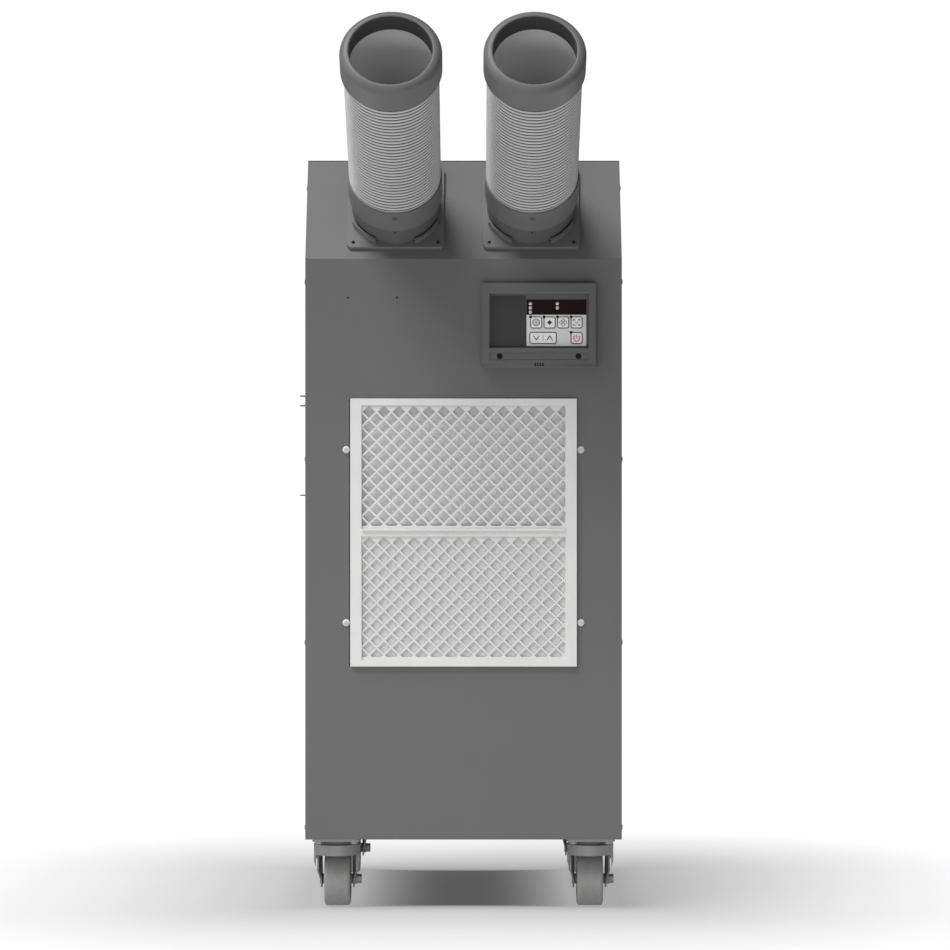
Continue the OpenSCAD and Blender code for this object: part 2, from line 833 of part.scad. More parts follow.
module bezel_screws() {
    color(black) placed() for (s = [-1, 1])
        translate([bezel_x + s * (strip_w / 2 - strip_screw_inset), -bezel_stand + strip_d,
            bezel_z + strip_up + strip_h / 2]) rotate([90, 0, 0])
                pan_screw(bezel_screw_r, bezel_screw_head_r, bezel_screw_head_h, bezel_stand);
}

// Places of the square keys, from the panel's lower left corner
function key_places() = concat(
    [for (k = [0 : 3]) [key_first_x + k * key_pitch, key_row_up]],
    [[key_first_x + 3 * key_pitch, low_row_up]]);

// The outline of one square key, with a notch for the lamp at its upper left corner
module key_outline(grow) {
    difference() {
        translate([-key_w / 2 - grow, -key_w / 2 - grow])
            rounded(key_w + 2 * grow, key_w + 2 * grow, key_r + grow);
        translate([-key_w / 2, key_w / 2]) circle(led_r + key_gap - grow);
    }
}

module long_key_outline(grow) {
    translate([-long_key_w / 2 - grow, -key_w / 2 - grow])
        rounded(long_key_w + 2 * grow, key_w + 2 * grow, key_r + grow);
}

module key_plate() {
    color(mat_grey) placed() difference() {
        backwards(panel_y, panel_t) translate([panel_x, panel_z]) square([panel_w, plate_h - seam]);
        for (p = key_places()) backwards(panel_y - over, panel_t + 2 * over)
            translate([panel_x + p[0], panel_z + p[1]]) key_outline(key_gap);
        backwards(panel_y - over, panel_t + 2 * over)
            translate([panel_x + long_key_x, panel_z + low_row_up]) long_key_outline(key_gap);
        for (p = led_places()) rod_back(p[0], panel_y - over, p[1], led_r + run_clear, panel_t + 2 * over);
    }
}

// Places of the small lamps at the keys' corners
function led_places() = [for (p = key_places())
    [panel_x + p[0] - key_w / 2, panel_z + p[1] + key_w / 2]];

// Places of the round indicators in the display
function lamp_places() = concat(
    [for (k = [0 : 2]) [panel_x + lamp_first_x, panel_z + plate_h + lamp_first_up - k * lamp_step]],
    [for (k = [0 : 1])
        [panel_x + lamp_first_x + lamp_col, panel_z + plate_h + lamp_first_up - k * lamp_step]]);

module display_window() {
    color(black) placed() difference() {
        backwards(panel_y, panel_t) translate([panel_x, panel_z + plate_h]) square([panel_w, display_h]);
        for (p = lamp_places())
            rod_back(p[0], panel_y - over, p[1], lamp_d / 2 + run_clear, panel_t + 2 * over);
    }
}

module indicator_lamps() {
    color(off_white) placed() for (p = lamp_places())
        rod_back(p[0], panel_y - lamp_stand, p[1], lamp_d / 2, panel_t + lamp_stand + seam);
    color(black) placed() for (p = led_places())
        rod_back(p[0], panel_y - lamp_stand, p[1], led_r, panel_t + lamp_stand + seam);
}

board_y = floor_y + floor_t + board_gap;

module control_board() {
    lamp_end = panel_y + panel_t + seam;
    key_end = panel_y + panel_t + seam + key_lip_t + key_travel + seam;
    color(board_green) placed() {
        backwards(board_y, board_t) translate([panel_x - board_margin, panel_z - board_margin])
            square([panel_w + 2 * board_margin, panel_h + 2 * board_margin]);
        for (p = key_places())
            translate([panel_x + p[0] - switch_w / 2, key_end, panel_z + p[1] - switch_w / 2])
                cube([switch_w, board_y - key_end, switch_w]);
        for (p = concat(lamp_places(), led_places()))
            rod_back(p[0], lamp_end, p[1], led_r / 2, board_y - lamp_end);
        for (x = [0, panel_w])
            translate([panel_x + x - board_t, floor_y + floor_t, panel_z])
                cube([2 * board_t, board_gap, panel_h]);
    }
    color(zinc) placed() translate([panel_x + long_key_x, rocker_y(), panel_z + low_row_up])
        for (s = [-1, 1]) translate([-switch_w / 2, 0, s * rocker_ear_z() - board_t / 2]) difference() {
            translate([0, -switch_w / 3, 0]) cube([switch_w, board_y - rocker_y() + switch_w / 3, board_t]);
            translate([switch_w / 2, 0, -over]) cylinder(r = rocker_r + run_clear, h = board_t + 2 * over);
        }
}

function rocker_y() = panel_y + panel_t + seam + switch_w / 3;

function rocker_ear_z() = key_w / 2 - board_t;

module square_key(k, cap_color) {
    p = key_places()[k];
    back = panel_y + panel_t;
    color(cap_color) placed() translate([panel_x + p[0], 0, panel_z + p[1]]) {
        backwards(panel_y - key_stand, panel_t + key_stand + 2 * seam) key_outline(0);
        difference() {
            backwards(back + seam, key_lip_t) translate([-key_w / 2 - key_lip, -key_w / 2 - key_lip])
                rounded(key_w + 2 * key_lip, key_w + 2 * key_lip, key_r);
            translate([-key_w / 2, back, key_w / 2]) rotate([-90, 0, 0])
                cylinder(r = led_r + 2 * key_gap, h = 2 * key_lip_t + seam);
        }
    }
}

module mode_key() { square_key(0, key_white); }

module cool_key() { square_key(1, key_white); }

module fan_key() { square_key(2, key_white); }

module timer_key() { square_key(3, key_white); }

module power_key() { square_key(4, pink); }

module temperature_key() {
    color(key_white) placed() translate([panel_x + long_key_x, 0, panel_z + low_row_up]) {
        backwards(panel_y - key_stand, panel_t + key_stand) long_key_outline(0);
        translate([-rocker_r, panel_y + panel_t / 2, -key_w / 4])
            cube([2 * rocker_r, rocker_y() - panel_y - panel_t / 2, key_w / 2]);
        translate([0, rocker_y(), -key_w / 2]) cylinder(r = rocker_r, h = key_w);
    }
}

// Puts a nozzle's pieces on the slope, with the air flowing along their own z
module on_slope(s) {
    translate([s * nozzle_x, slope_mid_y, slope_mid_z]) rotate([90 - slope_lean, 0, 0]) children();
}

module flange_corners() {
    d = flange_w / 2 - flange_screw_inset;
    for (x = [-d, d], y = [-d, d]) translate([x, y, 0]) children();
}

// A tube with its ends square
module tube(out_r, in_r, h) {
    difference() {
        cylinder(r = out_r, h = h);
        translate([0, 0, -over]) cylinder(r = in_r, h = h + 2 * over);
    }
}

module nozzle_flange(s) {
    color(dark_grey) placed() on_slope(s) difference() {
        union() {
            linear_extrude(flange_t) translate([-flange_w / 2, -flange_w / 2])
                rounded(flange_w, flange_w, flange_r);
            cylinder(r = socket_r, h = socket_end);
            for (m = [0, 1], n = [0, 1]) mirror([m, 0, 0]) mirror([0, n, 0])
                rotate([0, 0, guard_from]) rotate_extrude(angle = guard_span)
                    translate([guard_in_r, 0]) square([guard_out_r - guard_in_r, flange_t + guard_h]);
        }
        translate([0, 0, -over]) cylinder(r = socket_bore_r, h = socket_end + 2 * over);
        flange_corners() translate([0, 0, -over])
            cylinder(r = flange_screw_r + screw_clear, h = flange_t + 2 * over);
        translate([0, 0, key_hole_at]) rotate([90, 0, 0]) cylinder(r = key_hole_r, h = socket_d);
    }
}

module nozzle_flange_left() { nozzle_flange(-1); }

module nozzle_flange_right() { nozzle_flange(1); }

module flange_screws() {
    color(black) placed() for (s = [-1, 1]) on_slope(s) flange_corners() translate([0, 0, flange_t])
        pan_screw(flange_screw_r, flange_screw_head_r, flange_screw_head_h, flange_t + 3 * sheet);
}

module nozzle_collar(s) {
    color(dark_grey) placed() on_slope(s) {
        difference() {
            translate([0, 0, collar_at]) cylinder(r = collar_d / 2, h = collar_h);
            translate([0, 0, collar_at - over])
                cylinder(r = socket_r + run_clear, h = socket_over + over + seam);
            translate([0, 0, collar_at]) cylinder(r = socket_bore_r, h = collar_h);
            translate([0, 0, hose_start - seam]) cylinder(r = hose_d / 2 + hose_clear, h = collar_h);
            translate([0, 0, collar_at + collar_screw_at]) rotate([90, 0, 0])
                cylinder(r = collar_screw_r + screw_clear, h = collar_d);
        }
        translate([0, -collar_d / 2, collar_at + collar_screw_at]) rotate([90, 0, 0])
            pan_screw(collar_screw_r, collar_screw_head_r, collar_screw_head_h,
                collar_d / 2 - hose_d / 2 - hose_clear);
    }
}

module nozzle_collar_left() { nozzle_collar(-1); }

module nozzle_collar_right() { nozzle_collar(1); }

module nozzle_hose(s) {
    crest = hose_d / 2;
    groove = crest - groove_d;
    first = hose_start + hose_cuff;
    count = floor((hose_end - hose_cuff - first) / rib_pitch);
    flat = rib_pitch * rib_share - 2 * rib_flank;
    gap = rib_pitch * (1 - rib_share);
    ribs = [for (k = [0 : count - 1], p = [[groove, 0], [groove, gap], [crest, gap + rib_flank],
        [crest, gap + rib_flank + flat]]) [p[0], first + k * rib_pitch + p[1]]];
    outline = concat([[hose_bore_d / 2, hose_start], [crest, hose_start], [crest, first - rib_flank]],
        ribs, [[groove, first + count * rib_pitch],
        [crest, first + count * rib_pitch + rib_flank], [crest, hose_end], [hose_bore_d / 2, hose_end]]);
    color(hose_grey) placed() on_slope(s) rotate_extrude() polygon(outline);
}

module nozzle_hose_left() { nozzle_hose(-1); }

module nozzle_hose_right() { nozzle_hose(1); }

module nozzle_ring(s) {
    out = ring_d / 2;
    in = mouth_d / 2;
    inner_low = mouth_at - mouth_depth;
    skirt_in = hose_d / 2 + hose_clear;
    color(dark_grey) placed() on_slope(s) rotate_extrude() {
        polygon([[skirt_in, ring_start], [out - ring_chamfer / 2, ring_start],
            [out, ring_start + ring_chamfer], [out, mouth_at - lip_out_r],
            [in + lip_in_r, mouth_at - lip_out_r], [in + lip_in_r, mouth_at - lip_in_r],
            [in, mouth_at - lip_in_r], [in, inner_low], [skirt_in, inner_low]]);
        translate([out - lip_out_r, mouth_at - lip_out_r]) quarter(lip_out_r, 1, 1);
        translate([in + lip_in_r, mouth_at - lip_in_r]) quarter(lip_in_r, -1, 1);
    }
}

module nozzle_ring_left() { nozzle_ring(-1); }

module nozzle_ring_right() { nozzle_ring(1); }

// The plenum's side outline, shrunk by a wall
module plenum_outline(inset) {
    low = outlet_z + inset;
    high = top_z - sheet - plenum_high - inset;
    polygon([[slope_y(low, sheet + seam + inset), low], [plenum_back - inset, low],
        [plenum_back - inset, high], [slope_y(high, sheet + seam + inset), high]]);
}

module plenum() {
    color(zinc) placed() difference() {
        across(plenum_w, -plenum_w / 2) plenum_outline(0);
        across(plenum_w - 2 * duct_wall, -plenum_w / 2 + duct_wall) plenum_outline(duct_wall);
        translate([-scroll_w / 2, tongue_y(), outlet_z - over])
            cube([scroll_w, scroll_end_y() - tongue_y(), duct_wall + 2 * over]);
        for (s = [-1, 1]) on_slope(s) translate([0, 0, -flange_d]) {
            cylinder(r = socket_bore_r, h = flange_d + over);
            flange_corners() cylinder(r = flange_screw_r + screw_clear, h = flange_d + over);
        }
    }
}

function scroll_r(a) =
    scroll_min_r + (scroll_max_r - scroll_min_r) * (a - tongue_angle) / (360 - tongue_angle);

function tongue_y() = blower_y + scroll_min_r * cos(tongue_angle);

function scroll_end_y() = blower_y + scroll_max_r;

// The blower's scroll seen from the side: a spiral that opens upwards behind the wheel
module scroll_outline(inset) {
    spiral = [for (k = [0 : scroll_steps])
        let (a = tongue_angle + (360 - tongue_angle) * k / scroll_steps, r = scroll_r(a) - inset)
        [blower_y + r * cos(a), blower_z + r * sin(a)]];
    polygon(concat(spiral, [[scroll_end_y() - inset, outlet_z],
        [tongue_y() + inset, outlet_z]]));
}

module blower_housing() {
    color(zinc) placed() difference() {
        across(scroll_w, -scroll_w / 2) scroll_outline(0);
        across(scroll_w - 2 * duct_wall, -scroll_w / 2 + duct_wall) scroll_outline(duct_wall);
        translate([-scroll_w / 2 + duct_wall, tongue_y() + duct_wall, outlet_z - over])
            cube([scroll_w - 2 * duct_wall, scroll_end_y() - tongue_y() - 2 * duct_wall, 2 * over]);
        rod_right(-scroll_w / 2 - over, blower_y, blower_z, inlet_r, scroll_w + 2 * over);
    }
}

// One forward-curved blade, standing at the top of the wheel
module blade() {
    out = blower_d / 2 - wheel_ring_w / 4;
    in = out - blade_depth;
    mid = (out + in) / 2;
    polygon([[0, in], [blade_lead / 4, mid], [blade_lead, out],
        [blade_lead + blade_t, out], [blade_lead / 4 + blade_t, mid], [blade_t, in]]);
}

module blower_wheel() {
    color(zinc) placed() {
        translate([-blower_w / 2, blower_y, blower_z]) rotate([90, 0, 90]) {
            linear_extrude(blower_w) for (k = [0 : blade_count - 1])
                rotate([0, 0, k * 360 / blade_count]) blade();
            for (x = [0, blower_w - wheel_ring_w]) translate([0, 0, x]) difference() {
                cylinder(r = blower_d / 2, h = wheel_ring_w);
                translate([0, 0, -over])
                    cylinder(r = blower_d / 2 - blade_depth, h = wheel_ring_w + 2 * over);
            }
            translate([0, 0, (blower_w - web_t) / 2])
                cylinder(r = blower_d / 2 - blade_depth / 2, h = web_t);
            translate([0, 0, (blower_w - hub_w) / 2]) cylinder(r = hub_r, h = hub_w);
        }
        rod_right(motor_x() + motor_gap, blower_y, blower_z, shaft_r,
            hub_w / 2 + shaft_nose - motor_x() - motor_gap);
    }
}

// The motor's far end, inside the left half of the wheel
function motor_x() = -hub_w / 2 - motor_gap - motor_len;

module blower_motor() {
    arm_x = -scroll_w / 2 - motor_arm_t;
    color(dark_grey) placed() {
        difference() {
            union() {
                rod_right(motor_x(), blower_y, blower_z, motor_r, motor_len);
                for (a = [90, 210, 330]) translate([0, blower_y, blower_z]) rotate([a, 0, 0])
                    translate([arm_x, 0, -motor_arm_w / 2]) {
                        cube([motor_arm_t, inlet_r + motor_arm_w, motor_arm_w]);
                        translate([0, motor_r - 2 * motor_arm_t, 0])
                            cube([motor_x() - arm_x + motor_arm_w, 2 * motor_arm_t + seam, motor_arm_w]);
                    }
            }
            rod_right(motor_x() + motor_gap - over, blower_y, blower_z, shaft_r + run_clear, motor_len);
        }
    }
}

// Number of gaps between the fins, and how deep they reach from either side
fin_gaps = floor(coil_w / fin_pitch) - 1;
fin_depth = (coil_d - 2 * bend_r) / 2;

// Number of hairpin bends that fit up the coil's side
bend_count = floor((coil_h - bend_pitch) / bend_pitch);

module evaporator_coil() {
    plate_z = shelf_z + sheet + seam + tray_wall;
    color(zinc) placed() {
        difference() {
            translate([-coil_w / 2, coil_y, coil_z]) cube([coil_w, coil_d, coil_h]);
            for (k = [0 : fin_gaps - 1], y = [coil_y - over, coil_y + coil_d - fin_depth])
                translate([-coil_w / 2 + (k + 0.5) * fin_pitch, y, coil_z + fin_pitch])
                    cube([fin_pitch - fin_t, fin_depth + over, coil_h - 2 * fin_pitch]);
        }
        for (x = [-coil_w / 2 - coil_plate_t, coil_w / 2]) translate([x, coil_y - coil_plate_t, plate_z])
            cube([coil_plate_t, coil_d + 2 * coil_plate_t, coil_z + coil_h - plate_z]);
    }
    color(copper) placed() for (s = [-1, 1], k = [0 : bend_count - 1])
        translate([s * (coil_w / 2 + coil_plate_t), coil_y + coil_d / 2, coil_z + (k + 0.5) * bend_pitch])
            rotate([0, 90, s > 0 ? 90 : -90]) hairpin();
}

// A half ring of tube that joins two neighbouring rows of the coil
module hairpin() {
    tube_r = pipe_d / 2;
    rotate([0, 0, 180]) rotate_extrude(angle = 180) translate([bend_r + tube_r, 0]) circle(tube_r);
}

module drain_pan() {
    w = coil_w + 2 * coil_plate_t + 2 * tray_lip;
    color(black) placed() difference() {
        translate([-w / 2, coil_y - tray_lip, shelf_z + sheet + seam])
            cube([w, tray_back - coil_y + tray_lip, tray_h]);
        translate([-w / 2 + tray_wall, coil_y - tray_lip + tray_wall, shelf_z + sheet + seam + tray_wall])
            cube([w - 2 * tray_wall, tray_back - coil_y + tray_lip - 2 * tray_wall, tray_h]);
    }
}

module component_shelf() {
    color(steel_grey) placed() difference() {
        union() {
            translate([-side_in + sheet + seam, flange_d + seam, shelf_z])
                cube([2 * (side_in - sheet - seam), pan_back - flange_d - seam, sheet]);
            for (x = [-side_in + sheet + seam, side_in - 2 * sheet - seam])
                translate([x, flange_d + seam, shelf_z - flange_d])
                    cube([sheet, pan_back - flange_d - seam, flange_d + sheet / 2]);
        }
        for (p = shelf_holes()) translate([p[0], p[1], shelf_z - over])
            cylinder(r = pipe_d, h = sheet + 2 * over);
    }
}

module compressor() {
    r = compressor_d / 2;
    low = floor_z + foot_h + foot_plate_t;
    color(black) placed() translate([compressor_x, compressor_y, 0]) {
        translate([0, 0, low]) rotate_extrude() difference() {
            union() {
                translate([0, dome_r]) square([r, compressor_h - 2 * dome_r]);
                square([r - dome_r, compressor_h]);
                translate([r - dome_r, dome_r]) quarter(dome_r, 1, -1);
                translate([r - dome_r, compressor_h - dome_r]) quarter(dome_r, 1, 1);
            }
            translate([0, dome_r]) square([r - shell_wall, compressor_h - 2 * dome_r]);
        }
        translate([-foot_plate_w / 2, -foot_plate_w / 2, low - foot_plate_t])
            cube([foot_plate_w, foot_plate_w, foot_plate_t]);
    }
    color(rubber_grey) placed() for (x = [-1, 1], y = [-1, 1])
        translate([compressor_x + x * foot_spread, compressor_y + y * foot_spread, floor_z])
            cylinder(r = foot_r, h = foot_h);
}

// Depth of the stack of condenser plates with its end plates
condenser_d = condenser_plates * condenser_pitch + 2 * condenser_end_t;
condenser_z = floor_z + condenser_foot_h;

// Places of the condenser's four ports, as width and height
function port_places() = [for (x = [-1, 1], z = [0, 1])
    [condenser_x + x * (condenser_w / 2 - port_inset),
        condenser_z + port_inset + z * (condenser_h - 2 * port_inset)]];

module plate_condenser() {
    color(zinc) placed() {
        for (k = [0 : condenser_plates - 1]) translate([condenser_x, condenser_y + condenser_end_t
            + k * condenser_pitch, condenser_z]) condenser_plate(k % 2 == 0 ? 0 : condenser_pitch / 2);
        for (y = [condenser_y, condenser_y + condenser_d - condenser_end_t])
            backwards(y, condenser_end_t) translate([condenser_x - condenser_w / 2, condenser_z])
                rounded(condenser_w, condenser_h, port_r);
        for (p = port_places())
            rod_back(p[0], condenser_y - port_len, p[1], port_r, port_len + condenser_end_t / 2);
        translate([condenser_x - condenser_w / 2, condenser_y, floor_z])
            cube([condenser_w, condenser_end_t, condenser_foot_h + port_r]);
        translate([condenser_x - condenser_w / 2, condenser_y, floor_z])
            cube([condenser_w, condenser_d, condenser_end_t]);
    }
}

module condenser_plate(inset) {
    backwards(0, condenser_pitch) translate([-condenser_w / 2 + inset, inset])
        rounded(condenser_w - 2 * inset, condenser_h - 2 * inset, port_r - inset);
}

// A pipe through a list of points, with a brazed elbow at each turn
module pipe(points, r) {
    for (k = [0 : len(points) - 2]) {
        run = points[k + 1] - points[k];
        length = norm(run);
        translate(points[k]) rotate([0, acos(run[2] / length), atan2(run[1], run[0])])
            cylinder(r = r, h = length, $fn = 32);
    }
    for (k = [1 : len(points) - 2]) translate(points[k]) sphere(r = r * elbow_share, $fn = 32);
}

function union_xs() = [union_x - union_gap / 2, union_x + union_gap / 2];

// The condenser's ports on its front: water on the right, refrigerant on the left
port_y = condenser_y - port_len;
gas_x = port_places()[0][0];
water_x = port_places()[2][0];
low_port_z = port_places()[0][1];
high_port_z = port_places()[1][1];
over_z = condenser_z + condenser_h + 2 * water_pipe_r;
valve_y = (condenser_y + condenser_d + body_d) / 2;
valve_x = union_xs()[1];
water_front = port_y - 2 * water_pipe_r;
water_side = condenser_x + condenser_w / 2 + 2 * water_pipe_r;

module water_valve() {
    color(brass) placed() difference() {
        union() {
            translate([valve_x - valve_w / 2, valve_y - valve_h / 2, union_z - valve_h / 2])
                cube([valve_w, valve_h, valve_h]);
            translate([valve_x, valve_y, union_z + valve_h / 2]) cylinder(r = valve_cap_r, h = valve_cap_h);
        }
        rod_back(valve_x, valve_y + valve_h / 2 - 2 * over, union_z, water_pipe_r + run_clear, valve_h);
        translate([valve_x - valve_w / 2 - over, valve_y, union_z]) rotate([0, 90, 0])
            cylinder(r = water_pipe_r / 4, h = 2 * over);
    }
}

module water_pipes() {
    out_x = union_xs()[0];
    color(copper) placed() {
        pipe([[water_x, port_y, low_port_z], [water_x, water_front, low_port_z],
            [water_side, water_front, low_port_z], [water_side, valve_y, low_port_z],
            [water_side, valve_y, union_z - valve_h / 2]], water_pipe_r);
        pipe([[water_x, port_y, high_port_z], [water_x, water_front, high_port_z],
            [water_x, water_front, over_z], [out_x, water_front, over_z],
            [out_x, valve_y, over_z], [out_x, valve_y, union_z], [out_x, body_d - sheet, union_z]],
            water_pipe_r);
        rod_back(valve_x, valve_y + valve_h / 2 - 2 * over, union_z, water_pipe_r,
            body_d - sheet - valve_y - valve_h / 2 + 2 * over);
    }
}

module water_unions() {
    color(brass) placed() for (x = union_xs()) difference() {
        union() {
            rod_back(x, body_d - sheet, union_z, union_d / 2, union_len + 2 * sheet);
            rod_back(x, body_d + sheet, union_z, nut_r, nut_t, 6);
        }
        rod_back(x, body_d - 2 * sheet, union_z, union_bore_r, union_len + 5 * sheet);
    }
    color(black) placed() difference() {
        union() {
            rod_back(drain_x, body_d - 3 * sheet, base_z + drain_up, drain_d / 2, union_len + 4 * sheet);
            rod_back(drain_x, body_d + sheet, base_z + drain_up, drain_d / 2 + 2 * sheet, 2 * sheet);
        }
        rod_back(drain_x, body_d - 4 * sheet, base_z + drain_up, drain_bore_r, union_len + 8 * sheet);
    }
}

// Where the refrigerant pipes pass up through the shelf
liquid_x = 0;
drier_gap = 10;
liquid_y = water_front - water_pipe_r - drier_gap - drier_r;
hot_x = 3 * pipe_d;
function shelf_holes() = [[compressor_x, compressor_y], [liquid_x, liquid_y]];

module refrigerant_lines() {
    r = pipe_d / 2;
    shell_top = floor_z + foot_h + foot_plate_t + compressor_h;
    coil_back = coil_y + coil_d;
    suction_z = coil_z + 2 * bend_pitch;
    feed_z = coil_z + bend_pitch;
    color(copper) placed() {
        pipe([[compressor_x, compressor_y, shell_top], [compressor_x, compressor_y, suction_z],
            [compressor_x, coil_back, suction_z]], r);
        pipe([[compressor_x + compressor_d / 2, compressor_y, high_port_z],
            [hot_x, compressor_y, high_port_z], [hot_x, water_front, high_port_z],
            [gas_x, water_front, high_port_z], [gas_x, port_y, high_port_z]], r);
        pipe([[gas_x, port_y, low_port_z], [gas_x, liquid_y, low_port_z], [liquid_x, liquid_y, low_port_z],
            [liquid_x, liquid_y, feed_z], [liquid_x, coil_back, feed_z]], r);
        translate([liquid_x, liquid_y, low_port_z + 2 * pipe_d]) tube(drier_r, r + run_clear, drier_h);
    }
}

module electrical_box() {
    color(zinc) placed() {
        difference() {
            translate([ebox_x - ebox_w / 2 + ebox_lid_t, ebox_y - ebox_d / 2, floor_z])
                cube([ebox_w - 2 * ebox_lid_t, ebox_d, ebox_h]);
            translate([ebox_x - ebox_w / 2 + 2 * ebox_lid_t, ebox_y - ebox_d / 2 - over,
                floor_z + ebox_lid_t])
                cube([ebox_w - 4 * ebox_lid_t, ebox_d - ebox_lid_t + over, ebox_h - 2 * ebox_lid_t]);
        }
        translate([ebox_x - ebox_w / 2, ebox_y - ebox_d / 2 - ebox_lid_t, floor_z + ebox_lid_t / 2])
            cube([ebox_w, ebox_lid_t, ebox_h]);
    }
}

module cable_gland() {
    color(black) placed() difference() {
        union() {
            rod_back(gland_x, body_d - gland_len / 2, base_z + gland_up, gland_r, gland_len);
            rod_back(gland_x, body_d + sheet, base_z + gland_up, gland_nut_r, gland_nut_t, 6);
            rod_back(gland_x, body_d - gland_len / 2, base_z + gland_up, gland_nut_r, gland_nut_t, 6);
        }
        rod_back(gland_x, body_d - gland_len, base_z + gland_up, gland_bore_r, 2 * gland_len);
    }
}

// Swivel axes of the casters: left and right, front and rear
caster_x = body_w / 2 - caster_inset_x;
function caster_place(sx, sy) =
    [sx * caster_x, sy < 0 ? caster_inset_y : body_d - caster_inset_y, 0];

function caster_places() = [for (sx = [-1, 1], sy = [-1, 1]) caster_place(sx, sy)];

module bolt_pattern() {
    for (x = [-1, 1], y = [-1, 1]) translate([x * bolt_spread_w / 2, y * bolt_spread_l / 2, 0]) children();
}

module caster_plates() {
    color(zinc) placed() for (c = caster_places()) translate(c) {
        difference() {
            translate([-mount_plate_w / 2, -mount_plate_l / 2, base_z - mount_plate_t])
                linear_extrude(mount_plate_t) rounded(mount_plate_w, mount_plate_l, plate_r);
            translate([0, 0, base_z - mount_plate_t - over]) bolt_pattern()
                cylinder(r = bolt_r + screw_clear, h = mount_plate_t + 2 * over);
        }
        translate([0, 0, base_z - mount_plate_t]) rotate([180, 0, 0]) rotate_extrude() race_outline();
        translate([0, 0, crown_low_z - seam])
            cylinder(r = king_r, h = base_z - mount_plate_t - crown_low_z + seam);
        translate([0, 0, crown_low_z - seam - king_head_h]) cylinder(r = king_head_r, h = king_head_h);
    }
}

// The bearing race under the plate: two lips with a groove between them
module race_outline() {
    groove = race_h / 4;
    polygon([[0, 0], [race_r, 0], [race_r, groove], [race_r - groove, 2 * groove],
        [race_r, 3 * groove], [race_r - groove / 2, race_h], [0, race_h]]);
}

module caster_bolts() {
    color(zinc) placed() for (c = caster_places()) translate(c) bolt_pattern() {
        translate([0, 0, base_z - mount_plate_t - bolt_head_h])
            cylinder(r = bolt_head_r, h = bolt_head_h, $fn = 6);
        translate([0, 0, base_z - mount_plate_t - seam / 2])
            cylinder(r = bolt_r, h = mount_plate_t + bolt_len);
    }
}

// The fork's crown seen from above: round, with flat sides where the legs go down
module crown_outline(inset) {
    intersection() {
        circle(fork_w / 2 + crown_bulge - inset);
        square([fork_w - 2 * inset, 2 * fork_w], center = true);
    }
}

// The fork's wall seen from above: round in front, its legs drawn in towards the axle
function wall_points(inset, end) =
    let (side = fork_w / 2 - inset, foot = fork_foot_w / 2 - inset,
        big = fork_w / 2 + crown_bulge - inset, turn = acos(side / big))
    concat([for (k = [0 : wall_steps]) let (a = turn - 180 + (180 - 2 * turn) * k / wall_steps)
        [big * cos(a), big * sin(a)]],
        [[foot, draw_in_y], [foot, end], [-foot, end], [-foot, draw_in_y]]);

// The wall seen from the side: an apron in front and legs that narrow to the axle
module wall_side() {
    polygon([[-fork_w, crown_low_z + seam], [-fork_w, crown_z - apron_h], [-leg_front_y, crown_z - apron_h],
        [caster_trail - foot_eye_r, wheel_r], [caster_trail + foot_eye_r, wheel_r],
        [leg_back_y, crown_low_z + seam]]);
    translate([caster_trail, wheel_r]) circle(foot_eye_r);
}

module caster_fork(sx, sy) {
    foot = fork_foot_w / 2;
    end = caster_trail + foot_eye_r + over;
    boss_x = foot + axle_boss;
    color(zinc) placed() translate(caster_place(sx, sy)) {
        difference() {
            union() {
                translate([0, 0, crown_low_z]) linear_extrude(crown_t) crown_outline(0);
                intersection() {
                    translate([0, 0, wheel_r - 2 * foot_eye_r]) linear_extrude(crown_z) difference() {
                        polygon(wall_points(seam, end));
                        polygon(wall_points(fork_t, end + over));
                    }
                    across(2 * fork_w, -fork_w) wall_side();
                }
                rod_right(foot - fork_t, caster_trail, wheel_r, axle_boss_r, axle_boss + fork_t);
            }
            arch_cut();
            translate([0, 0, crown_low_z - over]) cylinder(r = king_r + run_clear, h = crown_t + 2 * over);
            rod_right(-fork_w, caster_trail, wheel_r, axle_r + screw_clear, 2 * fork_w);
        }
        rod_right(-foot + seam / 2 - axle_head_h, caster_trail, wheel_r, axle_nut_r, axle_head_h);
        rod_right(-foot, caster_trail, wheel_r, axle_r, foot + boss_x + seam);
        rod_right(boss_x + seam / 2, caster_trail, wheel_r, axle_nut_r, axle_nut_h, 6);
    }
}

// The arch cut from the front half of the wall, with round upper corners
module arch_cut() {
    half = fork_w / 2 - fork_t - seam;
    high = crown_z - apron_h;
    backwards(-fork_w, fork_w) {
        translate([-half, 0]) square([2 * half, high - arch_r]);
        translate([arch_r - half, 0]) square([2 * (half - arch_r), high]);
        for (x = [arch_r - half, half - arch_r]) translate([x, high - arch_r]) circle(arch_r);
    }
}

module caster_fork_front_left() { caster_fork(-1, -1); }

module caster_fork_front_right() { caster_fork(1, -1); }

module caster_fork_rear_left() { caster_fork(-1, 1); }

module caster_fork_rear_right() { caster_fork(1, 1); }

// Half of the wheel's section, from its middle plane outwards
module wheel_half() {
    half = wheel_w / 2;
    hub_half = fork_foot_w / 2 - fork_t - seam;
    difference() {
        union() {
            square([wheel_r, half - wheel_edge_r]);
            square([wheel_r - wheel_edge_r, half]);
            translate([wheel_r - wheel_edge_r, half - wheel_edge_r]) quarter(wheel_edge_r, 1, 1);
            square([spacer_r, hub_half]);
        }
        translate([dish_in_r, half - dish_d]) square([dish_out_r - dish_in_r, 2 * dish_d]);
        translate([-over, -over]) square([axle_r + run_clear + over, fork_w]);
    }
}

module caster_wheel(sx, sy) {
    color(rubber_grey) placed() translate(caster_place(sx, sy)) translate([0, caster_trail, wheel_r])
        rotate([0, 90, 0]) rotate_extrude() {
            wheel_half();
            mirror([0, 1]) wheel_half();
        }
}

module caster_wheel_front_left() { caster_wheel(-1, -1); }

module caster_wheel_front_right() { caster_wheel(1, -1); }

